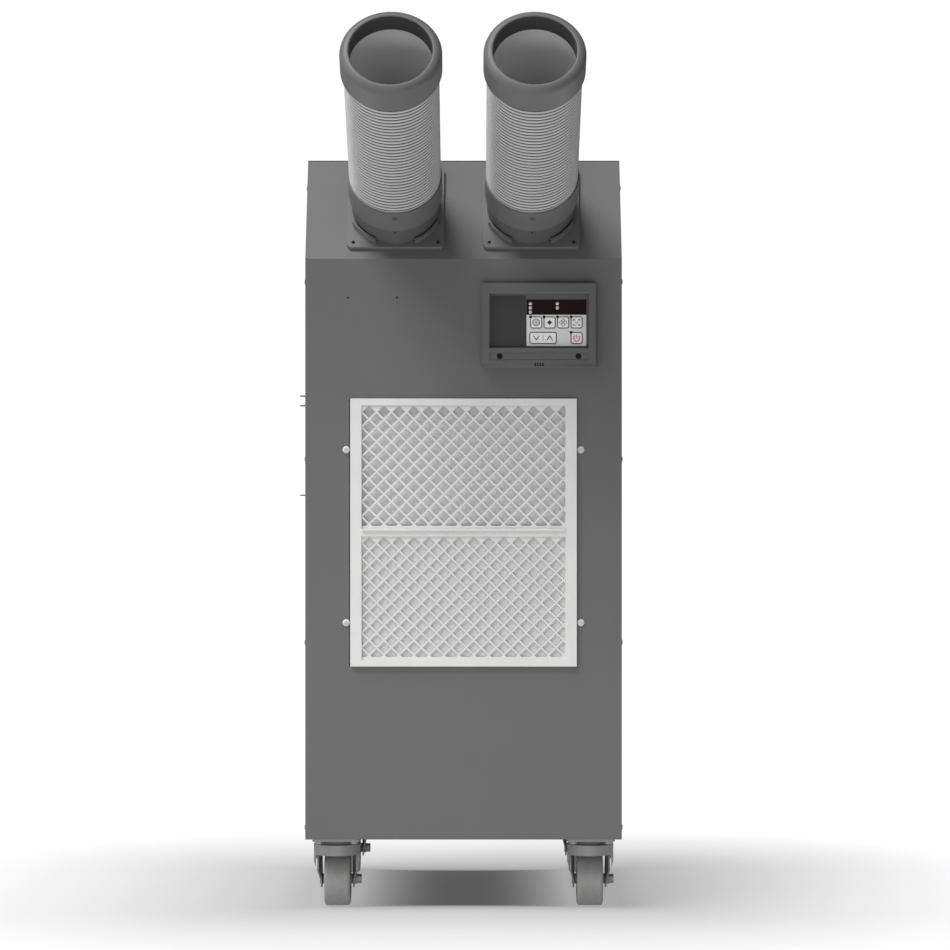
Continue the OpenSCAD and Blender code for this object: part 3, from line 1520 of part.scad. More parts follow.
module caster_wheel_rear_left() { caster_wheel(-1, 1); }

module caster_wheel_rear_right() { caster_wheel(1, 1); }

base_pan();
front_panel();
top_cover();
side_panel_left();
side_panel_right();
back_panel();
panel_screws();
side_cleats();
filter_rails();
filter_screws();
control_bezel();
bezel_screws();
key_plate();
display_window();
indicator_lamps();
control_board();
nozzle_flange_left();
nozzle_flange_right();
flange_screws();
plenum();
blower_housing();
blower_motor();
evaporator_coil();
drain_pan();
component_shelf();
compressor();
plate_condenser();
water_valve();
water_pipes();
water_unions();
refrigerant_lines();
electrical_box();
cable_gland();
caster_plates();
caster_bolts();
filter_frame();
filter_grilles();
filter_mat();
mode_key();
cool_key();
fan_key();
timer_key();
power_key();
temperature_key();
blower_wheel();
nozzle_collar_left();
nozzle_hose_left();
nozzle_ring_left();
nozzle_collar_right();
nozzle_hose_right();
nozzle_ring_right();
caster_fork_front_left();
caster_fork_front_right();
caster_fork_rear_left();
caster_fork_rear_right();
caster_wheel_front_left();
caster_wheel_front_right();
caster_wheel_rear_left();
caster_wheel_rear_right();
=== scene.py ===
# The looks of the spot cooler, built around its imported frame. Lengths in mm are times MM.
import json
import math

import bmesh
import bpy
from mathutils import Matrix, Vector, noise

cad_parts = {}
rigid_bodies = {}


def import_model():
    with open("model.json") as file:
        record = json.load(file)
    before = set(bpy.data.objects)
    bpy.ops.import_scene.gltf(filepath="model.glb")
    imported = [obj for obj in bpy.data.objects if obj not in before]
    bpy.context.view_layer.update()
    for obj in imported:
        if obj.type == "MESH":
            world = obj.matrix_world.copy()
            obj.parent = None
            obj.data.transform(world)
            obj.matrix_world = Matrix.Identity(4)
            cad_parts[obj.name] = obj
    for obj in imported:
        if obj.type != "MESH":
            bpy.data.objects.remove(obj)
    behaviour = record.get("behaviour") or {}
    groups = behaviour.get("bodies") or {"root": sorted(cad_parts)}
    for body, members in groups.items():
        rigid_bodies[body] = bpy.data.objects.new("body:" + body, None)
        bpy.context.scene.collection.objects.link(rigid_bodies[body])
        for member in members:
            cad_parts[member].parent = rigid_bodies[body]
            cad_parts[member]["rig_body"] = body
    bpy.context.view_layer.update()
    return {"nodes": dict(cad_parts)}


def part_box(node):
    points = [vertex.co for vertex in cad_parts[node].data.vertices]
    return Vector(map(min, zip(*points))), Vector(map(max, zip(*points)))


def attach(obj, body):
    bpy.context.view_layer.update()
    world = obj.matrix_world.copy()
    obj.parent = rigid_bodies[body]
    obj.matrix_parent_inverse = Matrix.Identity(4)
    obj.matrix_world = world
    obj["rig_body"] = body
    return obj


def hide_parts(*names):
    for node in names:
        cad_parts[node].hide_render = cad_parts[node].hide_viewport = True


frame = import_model()
nodes = frame["nodes"]

MM = 0.001
WELD = 0.002 * MM
ROUND_STEPS = 96
HEAD_STEPS = 32
SHARP = math.radians(35)
CRISP = math.radians(30)
FLAT = math.radians(0.4)
QUARTER = math.radians(90)


# Shader maths


class Reading:
    """A value or colour from a shader node. Sums on it add Math nodes."""

    def __init__(self, finish, socket):
        self.finish = finish
        self.socket = socket

    def maths(self, operation, *others):
        return self.finish.node("ShaderNodeMath", {"operation": operation}, [self, *others])

    def reflected(self, operation, other):
        return self.finish.node("ShaderNodeMath", {"operation": operation}, [other, self])

    def __add__(self, other):
        return self.maths("ADD", other)

    def __sub__(self, other):
        return self.maths("SUBTRACT", other)

    def __rsub__(self, other):
        return self.reflected("SUBTRACT", other)

    def __mul__(self, other):
        return self.maths("MULTIPLY", other)

    def __truediv__(self, other):
        return self.maths("DIVIDE", other)

    def __rtruediv__(self, other):
        return self.reflected("DIVIDE", other)

    def __pow__(self, other):
        return self.maths("POWER", other)

    def __rpow__(self, other):
        return self.reflected("POWER", other)

    __radd__ = __add__
    __rmul__ = __mul__

    def softly_over(self, limit, width):
        """0 below the limit and 1 above it, with a soft step of that width."""
        span = [self, limit - width / 2, limit + width / 2, 0.0, 1.0]
        return self.finish.node("ShaderNodeMapRange", {"interpolation_type": "SMOOTHSTEP"}, span)


class Finish:
    """One material, with a Principled shader and the nodes that feed it."""

    made = {}

    def __init__(self, name, **sockets):
        self.material = bpy.data.materials.new(name)
        self.material.use_nodes = True
        self.tree = self.material.node_tree
        self.tree.nodes.clear()
        self.shader = self.tree.nodes.new("ShaderNodeBsdfPrincipled")
        output = self.tree.nodes.new("ShaderNodeOutputMaterial")
        self.tree.links.new(self.shader.outputs["BSDF"], output.inputs["Surface"])
        self.set(**sockets)
        Finish.made[name] = self

    def node(self, kind, settings=None, sockets=(), give=0):
        """Adds a node: its settings first, then the values or links of its sockets."""
        made = self.tree.nodes.new(kind)
        for name, value in (settings or {}).items():
            if name == "stops":
                ramp = made.color_ramp
                while len(ramp.elements) < len(value):
                    ramp.elements.new(1.0)
                for element, (place, tone) in zip(ramp.elements, value):
                    element.position = place
                    element.color = (*tone, 1.0)
            else:
                setattr(made, name, value)
        pairs = sockets.items() if isinstance(sockets, dict) else enumerate(sockets)
        for name, value in pairs:
            self.feed(made.inputs[name], value)
        return Reading(self, made.outputs[give])

    def feed(self, socket, value):
        if isinstance(value, Reading):
            self.tree.links.new(value.socket, socket)
        else:
            socket.default_value = value

    def set(self, **sockets):
        for name, value in sockets.items():
            self.feed(self.shader.inputs[name.replace("_", " ")], value)

    def place(self):
        return self.node("ShaderNodeTexCoord", give="Object")

    def stretched(self, scale):
        return self.node("ShaderNodeMapping", sockets={"Vector": self.place(), "Scale": scale})

    def cloud(self, size, detail=2.0, where=None, rough=0.5):
        """Noise whose patches are about that many mm across."""
        values = {"Vector": where or self.place(), "Scale": 1 / (size * MM), "Detail": detail,
                  "Roughness": rough}
        return self.node("ShaderNodeTexNoise", sockets=values)

    def cells(self, size):
        """Cells about that many mm across, as the distance from each one's middle."""
        values = {"Vector": self.place(), "Scale": 1 / (size * MM)}
        return self.node("ShaderNodeTexVoronoi", sockets=values, give="Distance")

    def mixed(self, share, one, other):
        """A colour between two, by a share from 0 to 1."""
        colours = {"Factor": share, "A": rgba(one), "B": rgba(other)}
        made = self.tree.nodes.new("ShaderNodeMix")
        made.data_type = "RGBA"
        for name, value in colours.items():
            self.feed(next(s for s in made.inputs if s.name == name and s.enabled), value)
        return Reading(self, next(s for s in made.outputs if s.enabled))

    def bumped(self, height, depth, strength):
        """Gives the surface a relief of that depth in mm."""
        values = {"Height": height, "Distance": depth * MM, "Strength": strength}
        self.set(Normal=self.node("ShaderNodeBump", sockets=values))


def rgba(tone):
    return tone if isinstance(tone, Reading) else (*tone, 1.0)


def grey(tone):
    return (tone, tone, tone)


def tinted(tone, share):
    return tuple(part * share for part in tone)


def powder_paint(name, tone, peel=1.6):
    """Powder coat: a fine orange peel, faint mottling and a satin sheen."""
    f = Finish(name, IOR=1.5, Specular_IOR_Level=0.35)
    mottle = f.cloud(90, 3.0)
    speck = f.cloud(0.8, 1.0)
    f.set(Base_Color=f.mixed(mottle * 0.7 + speck * 0.3, tinted(tone, 0.94), tinted(tone, 1.06)))
    f.set(Roughness=0.47 + 0.1 * f.cloud(35, 2.0))
    f.bumped(f.cloud(peel, 2.0), 0.05, 0.5)


def moulded(name, tone, rough, grain, depth, gloss=0.35):
    """Moulded plastic: a fine spark-eroded grain and slow changes of gloss."""
    f = Finish(name, IOR=1.46, Specular_IOR_Level=gloss)
    flow = f.cloud(45, 2.0)
    f.set(Base_Color=f.mixed(flow, tinted(tone, 0.95), tinted(tone, 1.05)))
    f.set(Roughness=rough - 0.05 + 0.1 * f.cloud(18, 2.0))
    texture = f.cells(grain) * 0.6 + f.cloud(grain * 1.7, 2.0) * 0.4
    f.bumped(texture, depth, 0.6)


def plated_steel(name, tone, rough, streak=(1, 1, 1), metal=0.85):
    """Zinc-plated pressed steel: cloudy plating with fine rubbing marks."""
    f = Finish(name, Metallic=metal, IOR=1.6)
    bloom = f.cloud(14, 4.0)
    rub = f.cloud(1.4, 3.0, f.stretched(streak))
    f.set(Base_Color=f.mixed(bloom * 0.6 + rub * 0.4, tinted(tone, 0.82), tinted(tone, 1.1)))
    f.set(Roughness=rough + 0.16 * bloom + 0.08 * rub)
    f.bumped(rub, 0.02, 0.5)


def drawn_metal(name, tone, dull, rough):
    """Copper or brass with dull patches where it has been handled and brazed."""
    f = Finish(name, Metallic=0.95)
    patch = f.cloud(22, 4.0).softly_over(0.55, 0.3)
    f.set(Base_Color=f.mixed(patch, tone, dull))
    f.set(Roughness=rough + 0.2 * patch)
    f.bumped(f.cloud(0.9, 2.0), 0.015, 0.4)


def make_finishes():
    """All the materials. A moulded one has a roughness, a grain and relief in mm, and a gloss."""
    powder_paint("panel_paint", (0.124, 0.124, 0.126))
    powder_paint("motor_paint", (0.06, 0.07, 0.085), 2.2)
    moulded("bezel_plastic", (0.112, 0.112, 0.113), 0.5, 0.6, 0.04)
    moulded("recess_film", (0.044, 0.044, 0.045), 0.4, 1.2, 0.01)
    moulded("nozzle_plastic", (0.128, 0.128, 0.13), 0.46, 0.7, 0.04)
    # the ring's inner bore, painted dark as painted shade
    moulded("mouth_painted_shade", (0.06, 0.06, 0.061), 0.55, 0.7, 0.04, 0.25)
    # darker plastic for the collar screws, and painted shade on the flange socket
    moulded("socket_plastic", (0.095, 0.095, 0.096), 0.5, 0.7, 0.04, 0.3)
    moulded("hose_plastic", (0.49, 0.49, 0.49), 0.45, 0.9, 0.02, 0.35)
    # the hose's grooves, painted dark as painted shade
    moulded("hose_groove_painted_shade", (0.13, 0.13, 0.13), 0.6, 0.9, 0.02, 0.2)
    moulded("hose_liner", (0.68, 0.68, 0.682), 0.7, 1.0, 0.03, 0.2)
    moulded("filter_plastic", (0.67, 0.67, 0.665), 0.42, 0.8, 0.02, 0.4)
    # black plastic, and painted shade on the filter rails seen in the gap beside the frame
    moulded("black_plastic", (0.03, 0.03, 0.031), 0.5, 0.8, 0.05)
    moulded("lamp_black", (0.018, 0.017, 0.018), 0.25, 1.0, 0.005, 0.5)
    moulded("key_ink", (0.045, 0.045, 0.047), 0.6, 0.5, 0.003, 0.2)
    moulded("power_ink", (0.42, 0.025, 0.07), 0.5, 0.5, 0.003, 0.2)
    moulded("key_overlay", (0.68, 0.68, 0.68), 0.4, 0.5, 0.012)
    moulded("key_cap", (0.84, 0.84, 0.84), 0.38, 0.5, 0.012)
    moulded("power_cap", (0.86, 0.76, 0.78), 0.38, 0.5, 0.012)
    plated_steel("plated_screws", (0.3, 0.3, 0.3), 0.4)
    plated_steel("zinc_steel", (0.5, 0.5, 0.49), 0.36)
    plated_steel("caster_steel", (0.3, 0.3, 0.3), 0.42, metal=0.5)
    moulded("white_screws", (0.6, 0.6, 0.595), 0.35, 1.0, 0.01, 0.45)
    # black screws, and painted shade on the bezel's slot walls
    moulded("black_screws", (0.008, 0.008, 0.008), 0.55, 0.6, 0.02, 0.15)
    plated_steel("coil_aluminium", (0.62, 0.63, 0.64), 0.34, (1, 1, 6))
    drawn_metal("copper", (0.72, 0.36, 0.22), (0.42, 0.22, 0.15), 0.26)
    drawn_metal("brass", (0.68, 0.5, 0.22), (0.46, 0.35, 0.18), 0.28)

    display = Finish("display_black", Roughness=0.2, IOR=1.5, Specular_IOR_Level=0.12)
    tint = display.mixed(display.cloud(30), (0.013, 0.006, 0.007), (0.019, 0.009, 0.01))
    display.set(Base_Color=tint)
    display.bumped(display.cloud(25), 0.02, 0.2)

    lens = Finish("lamp_lens", Roughness=0.22, IOR=1.49, Specular_IOR_Level=0.5)
    lens.set(Base_Color=lens.mixed(lens.cloud(3), (0.5, 0.45, 0.46), (0.68, 0.64, 0.64)))
    lens.bumped(lens.cells(0.8), 0.02, 0.3)

    board = Finish("board", Roughness=0.4, IOR=1.5)
    tracks = board.cells(3).softly_over(0.45, 0.1)
    board.set(Base_Color=board.mixed(tracks, (0.012, 0.12, 0.05), (0.02, 0.2, 0.08)))
    board.bumped(tracks, 0.05, 0.5)

    mat = Finish("filter_mat", Roughness=0.95, IOR=1.4, Specular_IOR_Level=0.1)
    along = mat.cloud(0.7, 3.0, mat.stretched((0.25, 1.0, 1.0)), 0.7)
    upright = mat.cloud(0.7, 3.0, mat.stretched((1.0, 1.0, 0.25)), 0.7)
    fibre = (along + upright) * 0.5
    felt = mat.cloud(6, 4.0)
    mat.set(Base_Color=mat.mixed(fibre * 0.7 + felt * 0.3, (0.5, 0.5, 0.5), (0.7, 0.7, 0.695)))
    mat.bumped(fibre, 0.4, 0.7)

    rubber = Finish("wheel_rubber", IOR=1.5, Specular_IOR_Level=0.3)
    dust = rubber.cloud(9, 4.0).softly_over(0.5, 0.4)
    rubber.set(Base_Color=rubber.mixed(dust, (0.29, 0.29, 0.288), (0.325, 0.322, 0.318)))
    rubber.set(Roughness=0.5 + 0.2 * dust)
    rubber.bumped(rubber.cloud(1.1, 3.0), 0.05, 0.5)


# Pieces


def linked(name, data):
    """An object in the scene that holds a mesh, a light or a camera."""
    made = bpy.data.objects.new(name, data)
    bpy.context.scene.collection.objects.link(made)
    return made


def finished(name, shape, finishes, body, stands_for=None, sharp=SHARP):
    """Makes a bmesh one piece of the object, shaded smooth with crisp edges."""
    mesh = bpy.data.meshes.new(name)
    shape.to_mesh(mesh)
    shape.free()
    mesh.shade_smooth()
    mesh.set_sharp_from_angle(angle=sharp)
    for finish in [finishes] if isinstance(finishes, str) else finishes:
        mesh.materials.append(Finish.made[finish].material)
    piece = linked(name, mesh)
    even = piece.modifiers.new("even_faces", "WEIGHTED_NORMAL")
    even.keep_sharp = True
    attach(piece, body)
    if stands_for:
        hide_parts(stands_for)
    return piece


def body_of(node):
    return nodes[node]["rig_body"]


def closed_copy(node):
    """A closed copy of a CAD node's loose triangles."""
    shape = bmesh.new()
    shape.from_mesh(nodes[node].data)
    bmesh.ops.remove_doubles(shape, verts=shape.verts, dist=WELD)
    return shape


def merged_copy(node):
    """A closed copy of a CAD node, with flat areas in one face."""
    shape = closed_copy(node)
    bmesh.ops.dissolve_limit(
        shape, angle_limit=FLAT, use_dissolve_boundaries=False, verts=shape.verts,
        edges=shape.edges, delimit={"MATERIAL"}
    )
    return shape


def crisp(edge):
    return edge.is_manifold and edge.calc_face_angle(0.0) > CRISP


def ends(test):
    """A test of an edge, which passes where both its ends pass a test of places."""
    return lambda edge: all(test(v.co) for v in edge.verts)


def before(y):
    """A test of an edge, which passes where both its ends are in front of y, in metres."""
    return ends(lambda c: c.y < y)


def rounded_edges(shape, wanted, width, steps=2):
    """Bevels the edges that are wanted and crisp."""
    picked = [e for e in shape.edges if crisp(e) and wanted(e)]
    bmesh.ops.bevel(
        shape, geom=picked, offset=width * MM, offset_type="OFFSET", affect="EDGES",
        segments=steps, profile=0.5, material=-1, clamp_overlap=True
    )


def refined(node, finish, slot, width, wanted=lambda e: True, steps=2):
    """A CAD node's own shape with its edges eased, in place of the node."""
    shape = merged_copy(node)
    rounded_edges(shape, wanted, width, steps)
    finished(node + "_eased", shape, finish, body_of(node), node)


def keep_node(node, *finishes):
    """Gives a CAD node that stays its finishes, slot by slot. The last serves all slots left."""
    for k, slot in enumerate(nodes[node].material_slots):
        slot.material = Finish.made[finishes[min(k, len(finishes) - 1)]].material


def arc(cx, cy, r, start, end, steps):
    """Points on an arc, as pairs, from one angle in degrees to another."""
    turns = [math.radians(start + (end - start) * k / steps) for k in range(steps + 1)]
    return [(cx + r * math.cos(t), cy + r * math.sin(t)) for t in turns]


def spun(outline, closed=True, steps=ROUND_STEPS):
    """Turns an outline of radius and height, in mm, about z."""
    shape = bmesh.new()
    verts = [shape.verts.new((r * MM, 0, z * MM)) for r, z in outline]
    pairs = list(zip(verts, verts[1:] + (verts[:1] if closed else [])))
    edges = [shape.edges.new(pair) for pair in pairs]
    bmesh.ops.spin(
        shape, geom=verts + edges, cent=(0, 0, 0), axis=(0, 0, 1), dvec=(0, 0, 0),
        angle=math.tau, steps=steps, use_merge=True, use_normal_flip=False, use_duplicate=False
    )
    bmesh.ops.remove_doubles(shape, verts=shape.verts, dist=WELD)
    bmesh.ops.dissolve_degenerate(shape, edges=shape.edges, dist=WELD)
    bmesh.ops.recalc_face_normals(shape, faces=shape.faces)
    return shape


def turned(shape, matrix):
    shape.transform(matrix)
    return shape


def joined(shapes):
    """Several bmeshes in one."""
    whole = bmesh.new()
    for shape in shapes:
        mesh = bpy.data.meshes.new("part")
        shape.to_mesh(mesh)
        shape.free()
        whole.from_mesh(mesh)
        bpy.data.meshes.remove(mesh)
    return whole


def bar(centre, size):
    """A box, by its centre and size in mm."""
    shape = bmesh.new()
    bmesh.ops.create_cube(shape, size=1.0)
    stretch = Matrix.Diagonal((*[s * MM for s in size], 1))
    return turned(shape, Matrix.Translation(Vector(centre) * MM) @ stretch)


def carved(shape, cutters):
    """Cuts closed shapes out of another, as the boolean modifier does."""
    held = []
    for n, part in enumerate([shape, joined(cutters)]):
        mesh = bpy.data.meshes.new("cut%d" % n)
        part.to_mesh(mesh)
        part.free()
        held.append(linked("cut%d" % n, mesh))
    cut = held[0].modifiers.new("cut", "BOOLEAN")
    cut.operation = "DIFFERENCE"
    cut.solver = "EXACT"
    cut.use_self = True
    cut.object = held[1]
    graph = bpy.context.evaluated_depsgraph_get()
    result = bmesh.new()
    result.from_mesh(held[0].evaluated_get(graph).to_mesh())
    held[0].evaluated_get(graph).to_mesh_clear()
    for piece in held:
        mesh = piece.data
        bpy.data.objects.remove(piece)
        bpy.data.meshes.remove(mesh)
    return result


def islands(node):
    """The lowest and highest corner of each separate solid in a CAD node, in order."""
    shape = closed_copy(node)
    left = set(shape.verts)
    found = []
    while left:
        reach = [left.pop()]
        group = []
        while reach:
            v = reach.pop()
            group.append(v.co.copy())
            for e in v.link_edges:
                other = e.other_vert(v)
                if other in left:
                    left.remove(other)
                    reach.append(other)
        low = Vector([min(c[k] for c in group) for k in range(3)])
        high = Vector([max(c[k] for c in group) for k in range(3)])
        found.append((low, high))
    shape.free()
    return sorted(found, key=lambda b: tuple(round(x, 4) for x in (b[0] + b[1])))


# The cabinet, with sizes that the source gives, in mm

FRONT_Y = -125.914
SIDE_X = 250.0
FOLD_Z = 1030
TOP_EDGE_Z = 1193.6


def make_cabinet():
    """The folded sheets, their outer edges eased as paint rounds them."""

    def fold(c):
        return abs(c.z - FOLD_Z * MM) < 0.1 * MM and c.y < (FRONT_Y + 1) * MM

    def at_side(c):
        return abs(abs(c.x) - SIDE_X * MM) < 0.05 * MM

    def outer(c):
        return abs(c.x) > (SIDE_X - 0.1) * MM or c.z > TOP_EDGE_Z * MM

    shape = merged_copy("front_panel")
    rounded_edges(shape, ends(fold), 2.5, 4)
    rounded_edges(shape, ends(at_side), 0.5)
    finished("front_panel_folded", shape, "panel_paint", "cabinet", "front_panel")
    for node in ("top_cover", "side_panel_left", "side_panel_right", "back_panel"):
        refined(node, "panel_paint", "panel_paint", 0.5, ends(outer))
    refined("side_cleats", "panel_paint", "panel_paint", 0.4)
    keep_node("base_pan", "panel_paint")


# The nozzles, each along z of its own frame, with sizes after the source's, in mm

NOZZLE_X = 107.5
SLOPE_POINT = Vector((0.0, -78.664, 1111.84)) * MM
SLOPE_TURN = math.radians(60)
PLATE_T = 6
PLATE_REACH = 70
GUARD_TOP = 16
SOCKET_R = 70.5
FLANGE_SCREW_AT = 67


def slope_frame(side):
    """Puts a shape made along z on the slope, at the left (-1) or right (1) nozzle."""
    place = Matrix.Translation(SLOPE_POINT + Vector((side * NOZZLE_X * MM, 0, 0)))
    return place @ Matrix.Rotation(SLOPE_TURN, 4, "X")


def make_nozzles():
    for side, word in ((-1, "left"), (1, "right")):
        place = slope_frame(side)
        make_flange(place, word)
        make_collar(place, word)
        make_hose(place, word)
        make_ring(place, word)


def make_flange(place, word):
    """The flange: a plate with soft edges, and a socket painted darker as painted shade under the
    collar, with its guard arcs.
    """
    node = "nozzle_flange_" + word
    back = place.inverted()

    def on_plate(c):
        x, y, z = back @ c
        return z > (PLATE_T - 0.1) * MM and max(abs(x), abs(y)) > PLATE_REACH * MM

    def on_guard(c):
        return (back @ c).z > (GUARD_TOP - 0.5) * MM

    shape = merged_copy(node)
    rounded_edges(shape, ends(on_plate), 1.4, 3)
    rounded_edges(shape, ends(on_guard), 0.5)
    # The socket's faces get the darker finish: painted shade under the collar
    for face in shape.faces:
        x, y, z = back @ face.calc_center_median()
        in_socket = math.hypot(x, y) < SOCKET_R * MM and z > (PLATE_T + 0.2) * MM
        face.material_index = 1 if in_socket else 0
    finished(node + "_eased", shape, ["nozzle_plastic", "socket_plastic"], "cabinet",
             node)


def make_collar(place, word):
    """The twist collar: a turned shell with eased rims, and its pan-head screw."""
    node = "nozzle_collar_" + word
    body = "nozzle_" + word
    low, high = 47.7, 95.6
    out, step_in, bore, hose = 74.0, 70.08, 66.5, 72.35
    land_low, land_high = 66.0, 68.6
    skirt_soft, rim_soft = 0.8, 0.6
    outline = [(step_in, low + 0.4), (step_in + 0.4, low)]
    outline += arc(out - skirt_soft, low + skirt_soft, skirt_soft, -90, 0, 3)
    outline += arc(out - rim_soft, high - rim_soft, rim_soft, 0, 90, 3)
    outline += [(hose, high), (hose, land_high), (bore, land_high), (bore, land_low)]
    outline += [(step_in, land_low)]
    shape = turned(spun(outline), place)
    finished(node + "_turned", shape, "nozzle_plastic", body, node)
    head_r, head_h, head_up = 4.6, 1.6, 34
    up = Matrix.Translation((0, -out * MM, (low + head_up) * MM)) @ Matrix.Rotation(QUARTER, 4, "X")
    head = turned(pan_head(head_r, head_h), place @ up)
    finished("collar_screw_" + word, head, "socket_plastic", body)


def make_hose(place, word):
    """The ribbed hose, with rounded ribs, on a smooth liner. Its grooves, and the ribs by the
    collar's and the ring's rims, are painted dark as painted shade.
    """
    node = "nozzle_hose_" + word
    start, end, cuff, pitch = 68.9, 385.7, 6.0, 7.7
    crest, groove, bore = 72.2, 68.8, 66.5
    flank, shoulder = groove + 2.0, crest - 0.35
    # the bands of ribs painted dark as painted shade, beside the collar's and the ring's rims
    in_shade = ((95.6, 97.2), (366.4, 368.0))  # beside the collar's and the ring's rims
    first = start + cuff
    count = int((end - cuff - first) / pitch)
    last = first + count * pitch
    rib = [(groove, 0.35), (groove, 2.6), (flank, 3.0), (shoulder, 3.5), (crest, 4.5),
           (crest, 5.8), (shoulder, 6.8), (flank, 7.4)]
    outline = [(bore, start), (crest - 0.5, start), (crest, start + 0.5), (crest, first - 0.6)]
    outline += [(crest - 0.6, first)]
    for k in range(count):
        outline += [(r, first + k * pitch + z) for r, z in rib]
    outline += [(groove, last + 0.35), (groove, last + 2.6), (crest, last + 3.6), (crest, end)]
    outline += [(bore, end)]
    shape = turned(spun(outline, steps=80), place)
    back = place.inverted()
    # The grooves and the banded ribs get the dark finish as painted shade, and the bore gets the
    # liner
    for face in shape.faces:
        where = back @ face.calc_center_median()
        reach = math.hypot(where.x, where.y) / MM
        shaded = any(low < where.z / MM < high for low, high in in_shade)
        if reach < bore + 0.2:
            face.material_index = 1
        elif reach < groove + 1.1 or shaded:
            face.material_index = 2
        else:
            face.material_index = 0
    finished(node + "_ribbed", shape, ["hose_plastic", "hose_liner", "hose_groove_painted_shade"],
             "nozzle_" + word, node, math.radians(50))


def make_ring(place, word):
    """The mouth ring, with its round lip and deep inner wall, which is painted dark as painted
    shade.
    """
    node = "nozzle_ring_" + word
    low, high, deep = 368.0, 419.0, 386.0
    out, bore, skirt = 76.9, 62.5, 72.35
    lip_in, lip_out = 2.4, 12.0
    outline = [(skirt, low + 0.3), (skirt + 0.3, low), (out - 1.5, low), (out - 0.6, low + 1.0)]
    outline += [(out, low + 3.0)]
    outline += arc(out - lip_out, high - lip_out, lip_out, 0, 90, 12)
    outline += arc(bore + lip_in, high - lip_in, lip_in, 90, 180, 6)
    outline += [(bore, deep + 0.3), (bore + 0.3, deep), (skirt, deep)]
    shape = turned(spun(outline), place)
    back = place.inverted()
    # The faces of the inner bore get the dark finish: painted shade inside the mouth
    for face in shape.faces:
        where = back @ face.calc_center_median()
        face.material_index = 1 if math.hypot(where.x, where.y) < (bore + 0.2) * MM else 0
    finished(node + "_turned", shape, ["nozzle_plastic", "mouth_painted_shade"], "nozzle_" + word,
             node)


# The screws


def pan_head(r, h, shank=0.0):
    """A pan-head screw with a cross recess, its head standing on z = 0, in mm."""
    dome = [(0.0, h), (r * 0.35, h * 0.985), (r * 0.62, h * 0.9), (r * 0.84, h * 0.7),
            (r * 0.97, h * 0.4), (r, h * 0.12), (r, 0.0)]
    low = [(r * 0.45, 0.0), (r * 0.45, -shank), (0.0, -shank)] if shank else [(0.0, 0.0)]
    shape = spun(dome + low, closed=False, steps=HEAD_STEPS)
    bmesh.ops.recalc_face_normals(shape, faces=shape.faces)
    long, thin, deep = r, r * 0.24, h * 0.9
    cross = [bar((0, 0, h), (long, thin, deep)), bar((0, 0, h), (thin, long, deep))]
    return carved(shape, cross)


def screw_seat(low, high, h):
    """Which way a CAD screw points out, and where the underside of its head sits."""
    x, y, z = (low + high) / 2
    if low.x < -SIDE_X * MM:
        return (-1, 0, 0), Vector((-SIDE_X * MM, y, z))
    if high.x > SIDE_X * MM:
        return (1, 0, 0), Vector((SIDE_X * MM, y, z))
    if y > 0:
        return (0, 1, 0), Vector((x, high.y - h * MM, z))
    return (0, -1, 0), Vector((x, low.y + h * MM, z))


def make_screws():
    """Pan-head screws where the CAD nodes have theirs."""
    shank = 2.0
    # the node, its finish, and the head's radius and height
    kinds = (
        ("panel_screws", "plated_screws", 4.5, 1.7),
        ("filter_screws", "white_screws", 5.7, 2.6),
        ("bezel_screws", "black_screws", 4.6, 1.0),
    )
    for node, finish, r, h in kinds:
        pattern = pan_head(r, h, shank)
        heads = []
        for low, high in islands(node):
            way, seat = screw_seat(low, high, h)
            turn = Vector(way).to_track_quat("Z", "Y").to_matrix().to_4x4()
            heads.append(turned(pattern.copy(), Matrix.Translation(seat) @ turn))
        pattern.free()
        finished(node + "_crossed", joined(heads), finish, body_of(node), node)
    heads = []
    across = (-FLANGE_SCREW_AT, FLANGE_SCREW_AT)
    for side in (-1, 1):
        for x, y in [(x, y) for x in across for y in across]:
            seat = Matrix.Translation((x * MM, y * MM, PLATE_T * MM))
            heads.append(turned(pan_head(2.7, 1.4, shank), slope_frame(side) @ seat))
    finished("flange_screws_crossed", joined(heads), "black_screws", "cabinet",
             "flange_screws")


# The filter cassette


def make_filter():
    """The frame and grilles with soft front edges, and the two pads of the mat."""
    # the node, how deep its front edges reach, and the width and steps of their bevel
    parts = (("filter_frame", 3.3, 0.45, 2), ("filter_grilles", 0.1, 0.35, 1))
    for node, deep, width, steps in parts:
        front_edge = before(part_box(node)[0].y + deep * MM)
        refined(node, "filter_plastic", "filter_plastic", width, front_edge, steps)
    mats = [felt_pad(low, high) for low, high in islands("filter_mat")]
    mat = finished("filter_mat_felt", joined(mats), "filter_mat", "filter_cassette",
                   "filter_mat", math.radians(80))


def felt_pad(low, high):
    """A pad of fibres: flat at its edges and finely uneven over its face."""
    size = high - low
    across, up = 110, 68
    edge, lift = 5 * MM, 0.35
    tufts, fibres, fibre_share = 160, 420, 0.6
    shape = bmesh.new()
    bmesh.ops.create_grid(shape, x_segments=across, y_segments=up, size=0.5)
    stand = Matrix.Rotation(QUARTER, 4, "X")
    middle = Matrix.Translation(((low.x + high.x) / 2, low.y, (low.z + high.z) / 2))
    shape.transform(middle @ stand @ Matrix.Diagonal((size.x, size.z, 1, 1)))
    made = bmesh.ops.extrude_face_region(shape, geom=list(shape.faces), use_keep_orig=True)
    moved = [v for v in made["geom"] if isinstance(v, bmesh.types.BMVert)]
    bmesh.ops.translate(shape, verts=moved, vec=(0, size.y, 0))
    for v in shape.verts:
        if v.co.y < low.y + size.y / 2:
            inside = min(v.co.x - low.x, high.x - v.co.x, v.co.z - low.z, high.z - v.co.z)
            ease = min(1.0, max(0.0, inside / edge))
            rough = noise.noise(v.co * tufts) + fibre_share * noise.noise(v.co * fibres)
            v.co.y += (lift + lift * rough) * MM * ease
    bmesh.ops.recalc_face_normals(shape, faces=shape.faces)
    return shape


